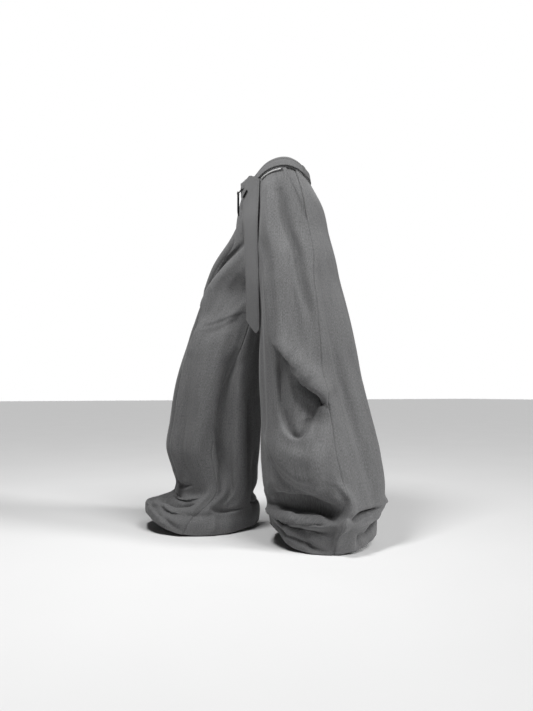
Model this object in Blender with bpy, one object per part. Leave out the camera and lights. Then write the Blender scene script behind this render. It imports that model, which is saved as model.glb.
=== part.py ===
"""Wide-leg trousers in the hollow shape they keep when worn in a short stride.

The cloth is a thin wall on a surface worked out from rings, one short table for each leg, and
from folds in another table. Metres, +Z up, front towards -Y, the wearer's left towards +X.
The origin is the middle of the waistband, where the wearer holds the garment up.
"""

import math

import bmesh
import bpy
import numpy as np

# Driving sizes, in metres.
WAIST_HEIGHT = 1.028  # floor to the middle of the waistband, at the sides
SEAM_HEIGHT = 1.012  # floor to the waist seam, at the sides
WAIST_HALF_X = 0.130
WAIST_HALF_Y = 0.090
WAIST_CENTRE_Y = 0.004
WAIST_LINE_ENDS = 0.30  # drop at which the rings are level again
BAND_HEIGHT = 0.032
BELT_LOW = 0.0045  # the belt's edges, above the waist seam
BELT_HIGH = 0.0275
CLOTH = 0.0016
DOUBLE_CLOTH = 0.0028  # waistband and belt are folded double
SEAM_GAP = 0.0003
CROTCH_DROP = 0.318
HEM_DROP = 1.110
RISE_REACH = 0.11  # distance from the rise seams over which both legs take up one curve
RISE_HOLLOW = 0.030  # how far the front sinks in along the fly
POCKET_DROP = 0.150  # where the slanted pocket meets the side seam
POCKET_ANGLE = 17.0  # how far in front of the side seam the pocket starts at the waist
POCKET_GAPE = 0.004
METRES_PER_DEGREE = 0.0024  # round a leg, for the folds' widths

# Each ring is a level round one leg. drop is the length down the cloth from the waist seam and
# height the level above the floor. x is out from the middle of the body and y towards the back.
# side_seam and inseam are degrees that the seams lie in front of the ring's widest points.
RING_COLUMNS = ("drop", "height", "x", "y", "half_x", "half_y", "side_seam", "inseam")
LEFT_RINGS = (
    (0.000, 1.012, 0.000, 0.004, 0.130, 0.090, 3, 0),
    (0.070, 0.944, 0.010, 0.020, 0.140, 0.110, 5, 0),
    (0.165, 0.850, 0.030, 0.025, 0.136, 0.119, 3, 0),
    (0.250, 0.767, 0.070, 0.031, 0.117, 0.115, 4, 0),
    (0.318, 0.700, 0.098, 0.031, 0.098, 0.120, 7, 0),
    (0.368, 0.652, 0.104, 0.036, 0.101, 0.125, 9, 0),
    (0.480, 0.542, 0.115, 0.044, 0.112, 0.135, 12, 4),
    (0.592, 0.432, 0.125, 0.051, 0.122, 0.142, 14, 6),
    (0.703, 0.322, 0.133, 0.062, 0.135, 0.151, 14, 6),
    (0.788, 0.239, 0.140, 0.067, 0.148, 0.161, 14, 6),
    (0.872, 0.156, 0.146, 0.073, 0.157, 0.164, 12, 6),
    (0.930, 0.110, 0.148, 0.075, 0.159, 0.158, 13, 6),
    (1.000, 0.065, 0.150, 0.070, 0.155, 0.150, 16, 6),
    (1.060, 0.034, 0.152, 0.066, 0.152, 0.144, 20, 6),
    (1.110, 0.000, 0.154, 0.064, 0.150, 0.138, 22, 6),
)
RIGHT_RINGS = (
    (0.000, 1.012, 0.000, 0.004, 0.130, 0.090, 3, 0),
    (0.070, 0.944, 0.010, 0.020, 0.140, 0.110, 5, 0),
    (0.165, 0.850, 0.030, 0.003, 0.135, 0.120, 3, 0),
    (0.250, 0.767, 0.070, -0.029, 0.115, 0.128, 4, 0),
    (0.318, 0.700, 0.098, -0.050, 0.098, 0.128, 7, 0),
    (0.368, 0.654, 0.102, -0.062, 0.099, 0.124, 9, 0),
    (0.465, 0.558, 0.115, -0.087, 0.109, 0.130, 12, 2),
    (0.590, 0.436, 0.135, -0.112, 0.125, 0.137, 14, 10),
    (0.713, 0.314, 0.155, -0.119, 0.138, 0.143, 14, 18),
    (0.796, 0.231, 0.168, -0.123, 0.148, 0.146, 13, 24),
    (0.868, 0.161, 0.175, -0.116, 0.152, 0.128, 12, 26),
    (0.925, 0.115, 0.178, -0.112, 0.155, 0.118, 13, 27),
    (1.000, 0.065, 0.180, -0.136, 0.154, 0.152, 16, 29),
    (1.060, 0.034, 0.180, -0.152, 0.158, 0.174, 19, 32),
    (1.110, 0.000, 0.180, -0.156, 0.158, 0.174, 21, 36),
)

# The waist seam's height round the body, over its height at the sides. It dips under the belt's
# fastening in front, and turn is degrees round from the side, forwards.
WAIST_LINE_COLUMNS = ("turn", "rise")
WAIST_LINE = (
    (-90, -0.014),
    (-45, -0.014),
    (-20, -0.009),
    (0, 0.003),
    (15, 0.010),
    (35, 0.010),
    (55, 0.000),
    (75, -0.022),
    (90, -0.034),
)

# The hem is lifted off the floor where it catches up in front of the heel: degrees round the
# leg, how many degrees the lift spreads, and how high.
HEM_LIFT_COLUMNS = ("turn", "spread", "lift")
LEFT_HEM_LIFTS = ((108, 34, 0.050), (-50, 42, 0.026))
RIGHT_HEM_LIFTS = ((80, 42, 0.054), (-130, 40, 0.010))

# A fold runs straight on the cloth from one drop and turn to another. turn is in degrees round
# the leg from its outer side, forwards, so 90 is the front, 180 the inner side and -90 the back.
# half_width is across the fold, and out is how far it stands out, or in if negative.
FOLD_COLUMNS = ("drop", "turn", "to_drop", "to_turn", "half_width", "out")
LEFT_FOLDS = (
    (0.030, 54, 0.260, 60, 0.036, 0.014),  # front pleat
    (0.260, 60, 0.540, 62, 0.046, 0.010),
    (0.080, 42, 0.300, 32, 0.045, -0.009),
    (0.300, 34, 0.520, 50, 0.050, -0.009),
    (0.330, 12, 0.560, 20, 0.050, 0.006),
    (0.480, 60, 0.600, 28, 0.040, 0.013),  # lip of the knee tuck
    (0.600, 28, 0.700, 14, 0.036, 0.013),
    (0.590, 44, 0.690, 34, 0.045, -0.024),  # hollow under the lip
    (0.560, 58, 0.700, 54, 0.032, -0.012),
    (0.700, 62, 0.850, 40, 0.050, 0.010),
    (0.760, 34, 0.860, 32, 0.060, 0.014),  # swag below the hollow
    (0.560, 4, 0.900, -18, 0.045, -0.012),
    (0.620, -34, 0.930, -34, 0.050, 0.008),
    (0.800, 100, 0.900, 92, 0.040, -0.008),
    (0.940, 104, 0.945, 24, 0.030, -0.034),  # puddle at the hem
    (0.992, 108, 0.985, 10, 0.026, 0.014),
    (1.030, 84, 1.030, 34, 0.024, -0.016),
    (0.900, 12, 1.100, 4, 0.040, 0.016),
    (1.080, -8, 1.010, -62, 0.034, -0.014),
    (0.950, -30, 0.930, -80, 0.030, 0.005),
    (0.960, -95, 0.960, -150, 0.034, -0.018),
    (1.010, -90, 1.010, -160, 0.026, 0.010),
    (0.500, -70, 0.800, -76, 0.050, -0.009),
    (0.350, -110, 0.700, -104, 0.050, 0.009),
    (0.600, -140, 0.860, -130, 0.050, -0.010),
    (0.620, 140, 0.880, 150, 0.050, -0.009),
    (0.450, 118, 0.800, 122, 0.050, 0.006),
    (0.960, 140, 0.960, 190, 0.030, -0.016),
)
RIGHT_FOLDS = (
    (0.030, 56, 0.300, 66, 0.042, 0.012),  # front pleat, outer ridge
    (0.080, 78, 0.330, 86, 0.036, -0.026),
    (0.080, 96, 0.330, 108, 0.040, 0.013),
    (0.300, 98, 0.430, 84, 0.044, 0.008),
    (0.400, 100, 0.420, 150, 0.036, -0.010),
    (0.430, 112, 0.520, 100, 0.050, 0.010),
    (0.520, 112, 0.880, 108, 0.034, 0.014),
    (0.600, 90, 0.860, 86, 0.032, -0.012),
    (0.560, 170, 1.040, 178, 0.042, -0.030),
    (0.640, 194, 1.000, 198, 0.036, 0.010),
    (0.480, 208, 0.900, 216, 0.045, -0.010),
    (0.500, 140, 0.860, 136, 0.050, 0.008),
    (0.960, 60, 0.975, 124, 0.026, -0.024),  # puddle at the hem
    (1.015, 52, 1.010, 118, 0.024, 0.005),
    (0.925, 90, 0.905, 130, 0.026, 0.008),
    (1.040, 100, 1.030, 160, 0.024, -0.012),
    (0.960, 20, 0.950, -40, 0.030, -0.020),
    (1.010, 10, 1.005, -50, 0.026, 0.010),
    (0.950, -80, 0.950, -140, 0.034, -0.014),
    (0.560, 36, 0.680, 6, 0.040, 0.012),
    (0.640, 30, 0.760, 14, 0.050, -0.018),
    (0.340, 30, 0.560, 44, 0.050, -0.009),
    (0.560, -40, 0.860, -44, 0.050, -0.010),
    (0.420, -84, 0.800, -80, 0.050, 0.009),
    (0.560, -126, 0.840, -120, 0.045, -0.010),
)
LEGS = {
    "left": {"out": 1.0, "rings": LEFT_RINGS, "folds": LEFT_FOLDS, "lifts": LEFT_HEM_LIFTS},
    "right": {"out": -1.0, "rings": RIGHT_RINGS, "folds": RIGHT_FOLDS, "lifts": RIGHT_HEM_LIFTS},
}

# The rows of points down a panel: closer towards the crotch's curve and the folds at the hem.
HIP_ROWS = np.linspace(0.0, 0.200, 9)
SEAT_ROWS = CROTCH_DROP - (CROTCH_DROP - 0.200) * (1 - np.arange(1, 7) / 6) ** 2
LEG_ROWS = np.linspace(CROTCH_DROP, 0.860, 14)[1:]
HEM_ROWS = np.linspace(0.860, HEM_DROP, 14)[1:]
PANEL_ROWS = np.concatenate([HIP_ROWS, SEAT_ROWS, LEG_ROWS, HEM_ROWS])
PANEL_COLUMNS = 18
CROTCH_ROW = len(HIP_ROWS) + len(SEAT_ROWS) - 1
POCKET_ROW = 6  # the pocket ends on this row

# The waist ring, in degrees from the left side forwards: 90 is the front, 180 the right side.
RING_STEPS = 72
FRONT_STEP = RING_STEPS // 4
STEP = 360.0 / RING_STEPS

# Belt tail: down from its top edge, its middle, the way its face turns (90 is forwards), how far
# its edges curve back, and its width. It is folded over the belt, so its top is wider.
TAIL_COLUMNS = ("down", "x", "y", "facing", "bow", "width")
TAIL_ROWS = (
    (0.000, 0.0243, -0.0932, 74, 0.0030, 0.084),
    (0.030, 0.0246, -0.0937, 72, 0.0036, 0.080),
    (0.080, 0.0290, -0.0952, 70, 0.0036, 0.070),
    (0.140, 0.0430, -0.1000, 69, 0.0032, 0.057),
    (0.220, 0.0530, -0.1026, 69, 0.0030, 0.051),
    (0.330, 0.0665, -0.1052, 70, 0.0030, 0.050),
    (0.400, 0.0660, -0.1038, 70, 0.0030, 0.051),
    (0.460, 0.0640, -0.1020, 70, 0.0030, 0.052),
)
TAIL_LENGTH = 0.452
TAIL_POINT = 0.040
TAIL_STEPS = 22
TAIL_PEAK = 0.04  # its top edge is highest here, as a share of its width
TAIL_CORNER = 0.037  # how far the folded corner falls, on the peak's right
TAIL_SHOULDER = 0.009  # and on its left

# The black frame, which hangs in a cloth tab, and the bar across the fold.
FRAME_HEIGHT = 0.060
FRAME_WIDTH = 0.044
FRAME_CORNER = 0.008
FRAME_ROD = 0.0016
FRAME_CENTRE = (-0.0155, -0.1116, -0.082)
FRAME_FACING = 116.0
TAB_THICK = 0.0014
TAB_HALF_WIDTH = 0.006
BAR_ROD = 0.0022
# The bar's ends on the tail: down from its top edge, and across as a share of its width.
BAR_START = (0.041, -0.07)
BAR_END = (0.053, -0.30)
TAB_DOWN = (0.016, 0.024)  # where the tab lies on the tail
TAB_ACROSS = -0.345

COLOURS = {
    "wool": (0.115, 0.115, 0.118, 0.92, 0.0),
    "wool_band": (0.120, 0.120, 0.123, 0.92, 0.0),
    "pale_piping": (0.42, 0.42, 0.42, 0.6, 0.0),
    "black_metal": (0.010, 0.010, 0.011, 0.35, 0.8),
}


def between(rows, columns, drop):
    """Every column at the given drops, on smooth curves through the rows."""
    table = np.array(rows, float)
    keys = table[:, 0]
    slopes = np.gradient(table, keys, axis=0)
    drop = np.asarray(drop, float)
    k = np.clip(np.searchsorted(keys, drop) - 1, 0, len(keys) - 2)
    step = keys[k + 1] - keys[k]
    t = ((drop - keys[k]) / step)[..., None]
    step = step[..., None]
    values = (
        (2 * t**3 - 3 * t**2 + 1) * table[k]
        + (t**3 - 2 * t**2 + t) * step * slopes[k]
        + (3 * t**2 - 2 * t**3) * table[k + 1]
        + (t**3 - t**2) * step * slopes[k + 1]
    )
    return {name: values[..., i] for i, name in enumerate(columns)}


def ease(t):
    """0 below 0, 1 above 1, and smooth between."""
    t = np.clip(t, 0.0, 1.0)
    return t * t * (3 - 2 * t)


def ring_at(leg, drop):
    return between(LEGS[leg]["rings"], RING_COLUMNS, drop)


def rise_turn(ring):
    """How far round from the outer side the ring runs before it meets the body's middle."""
    return np.degrees(np.arccos(np.clip(-ring["x"] / ring["half_x"], -1.0, 1.0)))


def fold_offset(leg, drop, turn):
    """How far all the folds together move the cloth out."""
    total = np.zeros(np.broadcast(drop, turn).shape)
    for row in LEGS[leg]["folds"]:
        fold = dict(zip(FOLD_COLUMNS, row))
        along_s = (fold["to_turn"] - fold["turn"]) * METRES_PER_DEGREE
        along_d = fold["to_drop"] - fold["drop"]
        length2 = along_s**2 + along_d**2
        for lap in (-360.0, 0.0, 360.0):
            s = (turn + lap - fold["turn"]) * METRES_PER_DEGREE
            d = drop - fold["drop"]
            t = np.clip((s * along_s + d * along_d) / length2, 0.0, 1.0)
            away = np.hypot(s - t * along_s, d - t * along_d) / fold["half_width"]
            swell = 0.45 + 0.55 * np.sin(math.pi * t)
            total += fold["out"] * swell * np.exp(-1.6 * away**2)
    return total


def waist_rise(turn):
    return between(WAIST_LINE, WAIST_LINE_COLUMNS, np.clip(turn, -90.0, 90.0))["rise"]


def hem_lift(leg, drop, turn):
    total = 0.0
    for row in LEGS[leg]["lifts"]:
        lift = dict(zip(HEM_LIFT_COLUMNS, row))
        away = (turn - lift["turn"] + 180.0) % 360.0 - 180.0
        total = total + lift["lift"] * np.exp(-((away / lift["spread"]) ** 2))
    return total * ease((drop - 0.93) / (HEM_DROP - 0.93))


def cloth_point(leg, drop, turn):
    """Points of the cloth's outer face. drop and turn are arrays of one shape."""
    ring = ring_at(leg, drop)
    angle = np.radians(turn)
    x = ring["x"] + ring["half_x"] * np.cos(angle)
    y = ring["y"] - ring["half_y"] * np.sin(angle)
    z = ring["height"]
    # Near the rise seams both legs take the same curve, halfway between their rings.
    end = rise_turn(ring)
    front = np.where(turn > 0, 1.0, -1.0)
    own_y = ring["y"] - front * ring["half_y"] * np.sin(np.radians(end))
    upper = np.minimum(drop, CROTCH_DROP)
    shared_y = 0.0
    shared_z = 0.0
    for side in LEGS:
        other = ring_at(side, upper)
        other_end = np.radians(rise_turn(other))
        shared_y = shared_y + 0.5 * (other["y"] - front * other["half_y"] * np.sin(other_end))
        shared_z = shared_z + 0.5 * other["height"]
    share = np.clip(upper / CROTCH_DROP, 0.0, 1.0)
    hollow = RISE_HOLLOW * np.sin(math.pi * share) * ease((1 - share) / 0.5)
    shared_y = shared_y + np.where(front > 0, hollow, 0.0)
    near = 1 - ease(x / RISE_REACH)
    below = 1 - ease((drop - CROTCH_DROP) / 0.10)
    y = y + (shared_y - own_y) * near * below
    z = z + np.where(drop < CROTCH_DROP, shared_z - z, 0.0) * near
    z = z + waist_rise(turn * 90.0 / end) * (1 - ease(drop / WAIST_LINE_ENDS))
    z = z + hem_lift(leg, drop, turn) - WAIST_HEIGHT
    # The folds move it along the ring's own outward direction, and fade at the rise seams.
    out_x = np.cos(angle) / ring["half_x"]
    out_y = -np.sin(angle) / ring["half_y"]
    size = np.hypot(out_x, out_y)
    guard = np.maximum(ease(x / 0.045), ease((drop - CROTCH_DROP) / 0.08))
    offset = fold_offset(leg, drop, turn) * guard * ease(drop / 0.05)
    x = x + offset * out_x / size
    y = y + offset * out_y / size
    return np.stack([LEGS[leg]["out"] * x, y, z], axis=-1)


def cloth_normal(leg, drop, turn):
    """The cloth's outward direction at the same points."""
    small = 0.0005
    small_turn = 0.2
    down = cloth_point(leg, drop + small, turn) - cloth_point(leg, drop - small, turn)
    across = cloth_point(leg, drop, turn + small_turn) - cloth_point(leg, drop, turn - small_turn)
    normal = np.cross(across, down) * LEGS[leg]["out"]
    return normal / np.linalg.norm(normal, axis=-1, keepdims=True)


def side_seam_turn(leg, drop):
    return ring_at(leg, drop)["side_seam"]


def pocket_turn(leg, drop):
    """The front panel's outer edge: the slanted pocket, and the side seam below it."""
    cut = np.clip(1 - drop / PANEL_ROWS[POCKET_ROW], 0.0, 1.0)
    return side_seam_turn(leg, drop) + POCKET_ANGLE * cut


def inner_turn(leg, drop, face):
    """Where a panel ends: at the rise seam, and at the inseam below the crotch."""
    ring = ring_at(leg, drop)
    past = ring["inseam"] * ease((drop - CROTCH_DROP) / 0.05)
    if face == "front":
        return np.where(drop < CROTCH_DROP, rise_turn(ring), 180.0 - past)
    return np.where(drop < CROTCH_DROP, -rise_turn(ring), -180.0 - past)


def panel_points(leg, face):
    """A panel's outer points and outward directions, rows by columns, its edges set back."""
    drop = PANEL_ROWS[:, None] * np.ones(PANEL_COLUMNS + 1)
    if face == "front":
        start = pocket_turn(leg, PANEL_ROWS)
    else:
        start = side_seam_turn(leg, PANEL_ROWS)
    end = inner_turn(leg, PANEL_ROWS, face)
    share = np.linspace(0.0, 1.0, PANEL_COLUMNS + 1)
    turn = start[:, None] + (end - start)[:, None] * share
    points = cloth_point(leg, drop, turn)
    normals = cloth_normal(leg, drop, turn)
    # Across the rise seams the directions lie in the body's middle plane, on both legs.
    rise = normals[: CROTCH_ROW + 1, -1]
    rise[:, 0] = 0.0
    rise /= np.linalg.norm(rise, axis=-1, keepdims=True)
    back = SEAM_GAP / 2
    across = np.gradient(points, axis=1)
    across /= np.linalg.norm(across, axis=-1, keepdims=True)
    points[:, 0] += across[:, 0] * back
    points[CROTCH_ROW:, -1] -= across[CROTCH_ROW:, -1] * back
    points[: CROTCH_ROW + 1, -1, 0] = LEGS[leg]["out"] * back
    points[0, :, 2] -= back
    return points, normals


def band_point(angle, up, out):
    """A point on the waistband: degrees round the ring, height above the seam, and out."""
    a = np.radians(angle)
    lean = 1 - 0.05 * np.asarray(up) / BAND_HEIGHT
    x = WAIST_HALF_X * np.cos(a) * lean
    y = -WAIST_HALF_Y * np.sin(a) * lean
    out_x = np.cos(a) / WAIST_HALF_X
    out_y = -np.sin(a) / WAIST_HALF_Y
    size = np.hypot(out_x, out_y)
    from_side = np.degrees(np.arcsin(np.clip(np.sin(a), -1.0, 1.0)))
    z = SEAM_HEIGHT - WAIST_HEIGHT + np.asarray(up) + waist_rise(from_side)
    return np.stack([x + out * out_x / size, WAIST_CENTRE_Y + y + out * out_y / size, z], axis=-1)


def material(name):
    found = bpy.data.materials.get(name)
    if found:
        return found
    red, green, blue, roughness, metallic = COLOURS[name]
    made = bpy.data.materials.new(name)
    made.use_nodes = True
    shader = made.node_tree.nodes["Principled BSDF"]
    shader.inputs["Base Color"].default_value = (red, green, blue, 1.0)
    shader.inputs["Roughness"].default_value = roughness
    shader.inputs["Metallic"].default_value = metallic
    return made


def add_object(name, mesh, finish, collection):
    made = bpy.data.objects.new(name, mesh)
    made.data.materials.append(material(finish))
    collection.objects.link(made)
    return made


def add_wall(name, outer, inner, finish, collection):
    """A solid between two grids of points, with a rim all round."""
    rows, columns, _ = outer.shape
    shell = bmesh.new()
    outside = [[shell.verts.new(p) for p in row] for row in outer]
    inside = [[shell.verts.new(p) for p in row] for row in inner]
    for grid in (outside, inside):
        for i in range(rows - 1):
            for j in range(columns - 1):
                shell.faces.new((grid[i][j], grid[i][j + 1], grid[i + 1][j + 1], grid[i + 1][j]))
    around = [(0, j) for j in range(columns - 1)]
    around += [(i, columns - 1) for i in range(rows - 1)]
    around += [(rows - 1, j) for j in range(columns - 1, 0, -1)]
    around += [(i, 0) for i in range(rows - 1, 0, -1)]
    for (i, j), (k, m) in zip(around, around[1:] + around[:1]):
        shell.faces.new((outside[i][j], outside[k][m], inside[k][m], inside[i][j]))
    bmesh.ops.recalc_face_normals(shell, faces=shell.faces)
    mesh = bpy.data.meshes.new(name)
    shell.to_mesh(mesh)
    shell.free()
    mesh.shade_smooth()
    mesh.set_sharp_from_angle(angle=math.radians(40))
    return add_object(name, mesh, finish, collection)


def add_panels(collection):
    for leg in LEGS:
        for face in ("front", "back"):
            points, normals = panel_points(leg, face)
            inner = points - normals * CLOTH
            add_wall(f"{face}_{leg}", points, inner, "wool", collection)


def add_pocket_facings(collection):
    """The cloth that shows in each slanted pocket, tucked behind the front and the back."""
    rows = PANEL_ROWS[: POCKET_ROW + 1].copy()
    rows[0] += 0.0015
    share = np.linspace(0.0, 1.0, 7)
    for leg in LEGS:
        seam = side_seam_turn(leg, rows) - 3.0
        edge = pocket_turn(leg, rows) + 6.0
        turn = seam[:, None] + (edge - seam)[:, None] * share
        drop = rows[:, None] * np.ones(len(share))
        points = cloth_point(leg, drop, turn)
        normals = cloth_normal(leg, drop, turn)
        gape = POCKET_GAPE * np.sin(math.pi * np.clip(drop / POCKET_DROP, 0, 1)) * ease(share)
        depth = (CLOTH + 0.0007 + gape)[..., None]
        outer = points - normals * depth
        add_wall(f"pocket_facing_{leg}", outer, outer - normals * CLOTH, "wool", collection)


def add_fly(collection):
    """The stitched fly lies on the left front, on the panel's own points."""
    points, normals = panel_points("left", "front")
    rows = slice(0, 9)
    columns = slice(PANEL_COLUMNS - 3, PANEL_COLUMNS + 1)
    face = points[rows, columns]
    out = normals[rows, columns]
    low = face + out * SEAM_GAP
    low[0, :, 2] -= 0.0004
    add_wall("fly", low + out * 0.0012, low, "wool", collection)


def ring_wall(name, steps, levels, finish, collection):
    """A strip round the waist. levels are rows of (up, inner out, outer out)."""
    angles = np.array(steps) * STEP
    inner = np.stack([band_point(angles, up, low) for up, low, high in levels])
    outer = np.stack([band_point(angles, up, high) for up, low, high in levels])
    return add_wall(name, outer, inner, finish, collection)


def add_waist(collection):
    """Waistband, belt and belt loops, one on another with a hair's gap."""
    whole = np.arange(FRONT_STEP, FRONT_STEP + RING_STEPS + 1, dtype=float)
    whole[0] += 0.03
    whole[-1] -= 0.03
    face = 0.0006
    low = SEAM_GAP / 2
    band = [(up, face - DOUBLE_CLOTH, face) for up in (low, BAND_HEIGHT / 2, BAND_HEIGHT)]
    ring_wall("waistband", whole, band, "wool_band", collection)
    belt_in = face + SEAM_GAP
    belt_out = belt_in + DOUBLE_CLOTH
    belt = [(up, belt_in, belt_out) for up in (BELT_LOW, (BELT_LOW + BELT_HIGH) / 2, BELT_HIGH)]
    whole[0] += 0.2
    whole[-1] -= 0.2
    ring_wall("belt", whole, belt, "wool", collection)
    loop_in = belt_out + SEAM_GAP
    thick = 0.0018
    loop = [
        (0.0004, belt_in, belt_in + thick),
        (0.0016, belt_in, belt_in + thick),
        (0.0038, loop_in, loop_in + thick),
        (0.0282, loop_in, loop_in + thick),
        (0.0302, belt_in, belt_in + thick),
        (0.0316, belt_in, belt_in + thick),
    ]
    places = {"left_front": 16, "left_back": 68.6, "back": 54, "right_back": 41, "right_front": 22}
    for name, step in places.items():
        ring_wall(f"belt_loop_{name}", (step - 0.5, step, step + 0.5), loop, "wool", collection)


def tail_face(down, across, out):
    """Points on the belt's long end. across is a share of its width, and out is from its back."""
    row = between(TAIL_ROWS, TAIL_COLUMNS, down)
    facing = np.radians(row["facing"])
    normal = np.stack([np.cos(facing), -np.sin(facing), np.zeros_like(facing)], axis=-1)
    side = np.stack([np.sin(facing), np.cos(facing), np.zeros_like(facing)], axis=-1)
    s = across * row["width"]
    set_back = row["bow"] * (2 * across) ** 2
    # Its top edge keeps to the waist line.
    turn = 90.0 - np.degrees((s + row["x"]) / WAIST_HALF_X)
    line = band_point(turn, BAND_HEIGHT + 0.001, 0.0)[..., 2]
    level = band_point(80.0, BAND_HEIGHT + 0.001, 0.0)[2]
    fade = ease(down / 0.25)
    z = line * (1 - fade) + level * fade - down
    centre = np.stack([row["x"], row["y"], z], axis=-1)
    return centre + side * s[..., None] + normal * (out - set_back)[..., None]


def add_tail(collection):
    """The belt's long end, folded over at the top and hanging free to a point."""
    share = np.linspace(0.0, 1.0, TAIL_STEPS + 1)
    across = np.linspace(-0.5, 0.5, 9) * np.ones((len(share), 1))
    # The fold cuts off both its top corners, and its lower end runs to a point.
    top = TAIL_CORNER * np.clip((across - TAIL_PEAK) / (0.5 - TAIL_PEAK), 0, 1)
    top = top + TAIL_SHOULDER * np.clip((TAIL_PEAK - across) / (0.5 + TAIL_PEAK), 0, 1)
    bottom = TAIL_LENGTH - TAIL_POINT * np.abs(across - 0.1) / 0.6
    down = top + (bottom - top) * share[:, None]
    inner = tail_face(down, across, 0.0)
    add_wall("belt_tail", tail_face(down, across, DOUBLE_CLOTH), inner, "wool", collection)


def add_rod(name, points, radius, closed, finish, collection):
    """A round rod along the points, with filled ends or closed in a ring."""
    curve = bpy.data.curves.new(name, "CURVE")
    curve.dimensions = "3D"
    curve.bevel_depth = radius
    curve.bevel_resolution = 2
    curve.use_fill_caps = True
    spline = curve.splines.new("POLY")
    spline.points.add(len(points) - 1)
    for point, (x, y, z) in zip(spline.points, points):
        point.co = (x, y, z, 1.0)
    spline.use_cyclic_u = closed
    return add_object(name, curve, finish, collection)


def frame_point(across, up):
    """A point in the buckle frame's plane."""
    facing = math.radians(FRAME_FACING)
    x, y, z = FRAME_CENTRE
    return (x + across * math.sin(facing), y + across * math.cos(facing), z + up)


def add_buckle(collection):
    """The slim frame, the bar on the fold, and the cloth tab that holds the frame."""
    outline = []
    for quarter in range(4):
        across = (FRAME_WIDTH / 2 - FRAME_CORNER) * (1, -1, -1, 1)[quarter]
        up = (FRAME_HEIGHT / 2 - FRAME_CORNER) * (1, 1, -1, -1)[quarter]
        for part in range(5):
            a = math.radians(90 * quarter + 22.5 * part)
            outline.append(
                frame_point(across + FRAME_CORNER * math.cos(a), up + FRAME_CORNER * math.sin(a))
            )
    add_rod("buckle_frame", outline, FRAME_ROD, True, "black_metal", collection)
    share = np.linspace(0.0, 1.0, 9)
    down, across = (start + (end - start) * share for start, end in zip(BAR_START, BAR_END))
    rod = tail_face(down, across, DOUBLE_CLOTH + SEAM_GAP + BAR_ROD)
    add_rod("buckle_bar", rod, BAR_ROD, False, "black_metal", collection)
    add_buckle_tab(collection)


def add_buckle_tab(collection):
    """The cloth tab lies on the belt's long end, and turns round the frame's top rod."""
    gap = FRAME_ROD + 0.0005
    inner = []
    outer = []
    for down in TAB_DOWN:
        across = TAB_ACROSS + np.array([-0.075, 0.0, 0.075])
        face = DOUBLE_CLOTH + SEAM_GAP
        inner.append(tail_face(np.full(3, down), across, face))
        outer.append(tail_face(np.full(3, down), across, face + TAB_THICK))
    for part in range(7):
        a = math.radians(120 - 45 * part)
        inner.append(frame_tab_row(gap * math.cos(a), gap * math.sin(a)))
        outer.append(frame_tab_row((gap + TAB_THICK) * math.cos(a), (gap + TAB_THICK) * math.sin(a)))
    add_wall("buckle_tab", np.array(outer), np.array(inner), "wool", collection)


def frame_tab_row(depth, up):
    """A row of the tab: depth is in front of the frame's top rod, and up is above it."""
    facing = math.radians(FRAME_FACING)
    row = []
    for s in (-TAB_HALF_WIDTH, 0.0, TAB_HALF_WIDTH):
        x, y, z = frame_point(s, FRAME_HEIGHT / 2)
        row.append((x + depth * math.cos(facing), y - depth * math.sin(facing), z + up))
    return row


def add_piping(collection):
    """A pale piping in the groove under the waistband, with a black end, on both sides."""
    turns = np.linspace(60.0, 29.0, 9)
    for leg in LEGS:
        drop = np.full(len(turns), 0.0065)
        points = cloth_point(leg, drop, turns)
        centre = points + cloth_normal(leg, drop, turns) * 0.0026
        add_rod(f"waist_piping_{leg}", centre, 0.0016, False, "pale_piping", collection)
        drop = np.full(3, 0.0065)
        ends = np.array([28.4, 27.4, 26.4])
        points = cloth_point(leg, drop, ends)
        centre = points + cloth_normal(leg, drop, ends) * 0.0027
        add_rod(f"piping_end_{leg}", centre, 0.0020, False, "black_metal", collection)


def main():
    for old in list(bpy.data.objects):
        bpy.data.objects.remove(old)
    collection = bpy.data.collections.new("wide_leg_trousers")
    bpy.context.scene.collection.children.link(collection)
    add_panels(collection)
    add_pocket_facings(collection)
    add_fly(collection)
    add_waist(collection)
    add_tail(collection)
    add_buckle(collection)
    add_piping(collection)


main()
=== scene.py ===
import math
import bmesh
import bpy
import numpy as np
from mathutils import Matrix, Vector


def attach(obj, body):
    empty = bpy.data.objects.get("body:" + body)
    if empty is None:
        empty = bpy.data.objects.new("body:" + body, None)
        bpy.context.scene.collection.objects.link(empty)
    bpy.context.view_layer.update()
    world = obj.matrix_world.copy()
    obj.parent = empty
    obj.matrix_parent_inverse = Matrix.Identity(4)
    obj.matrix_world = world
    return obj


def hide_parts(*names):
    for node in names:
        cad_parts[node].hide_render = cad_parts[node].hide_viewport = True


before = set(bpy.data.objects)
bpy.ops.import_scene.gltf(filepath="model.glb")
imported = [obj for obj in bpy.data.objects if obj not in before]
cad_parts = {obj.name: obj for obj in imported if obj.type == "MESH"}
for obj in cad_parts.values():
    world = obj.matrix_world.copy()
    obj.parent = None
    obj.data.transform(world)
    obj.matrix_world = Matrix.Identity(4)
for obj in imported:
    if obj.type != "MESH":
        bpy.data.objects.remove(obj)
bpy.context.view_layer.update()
print("frame loaded")

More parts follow.
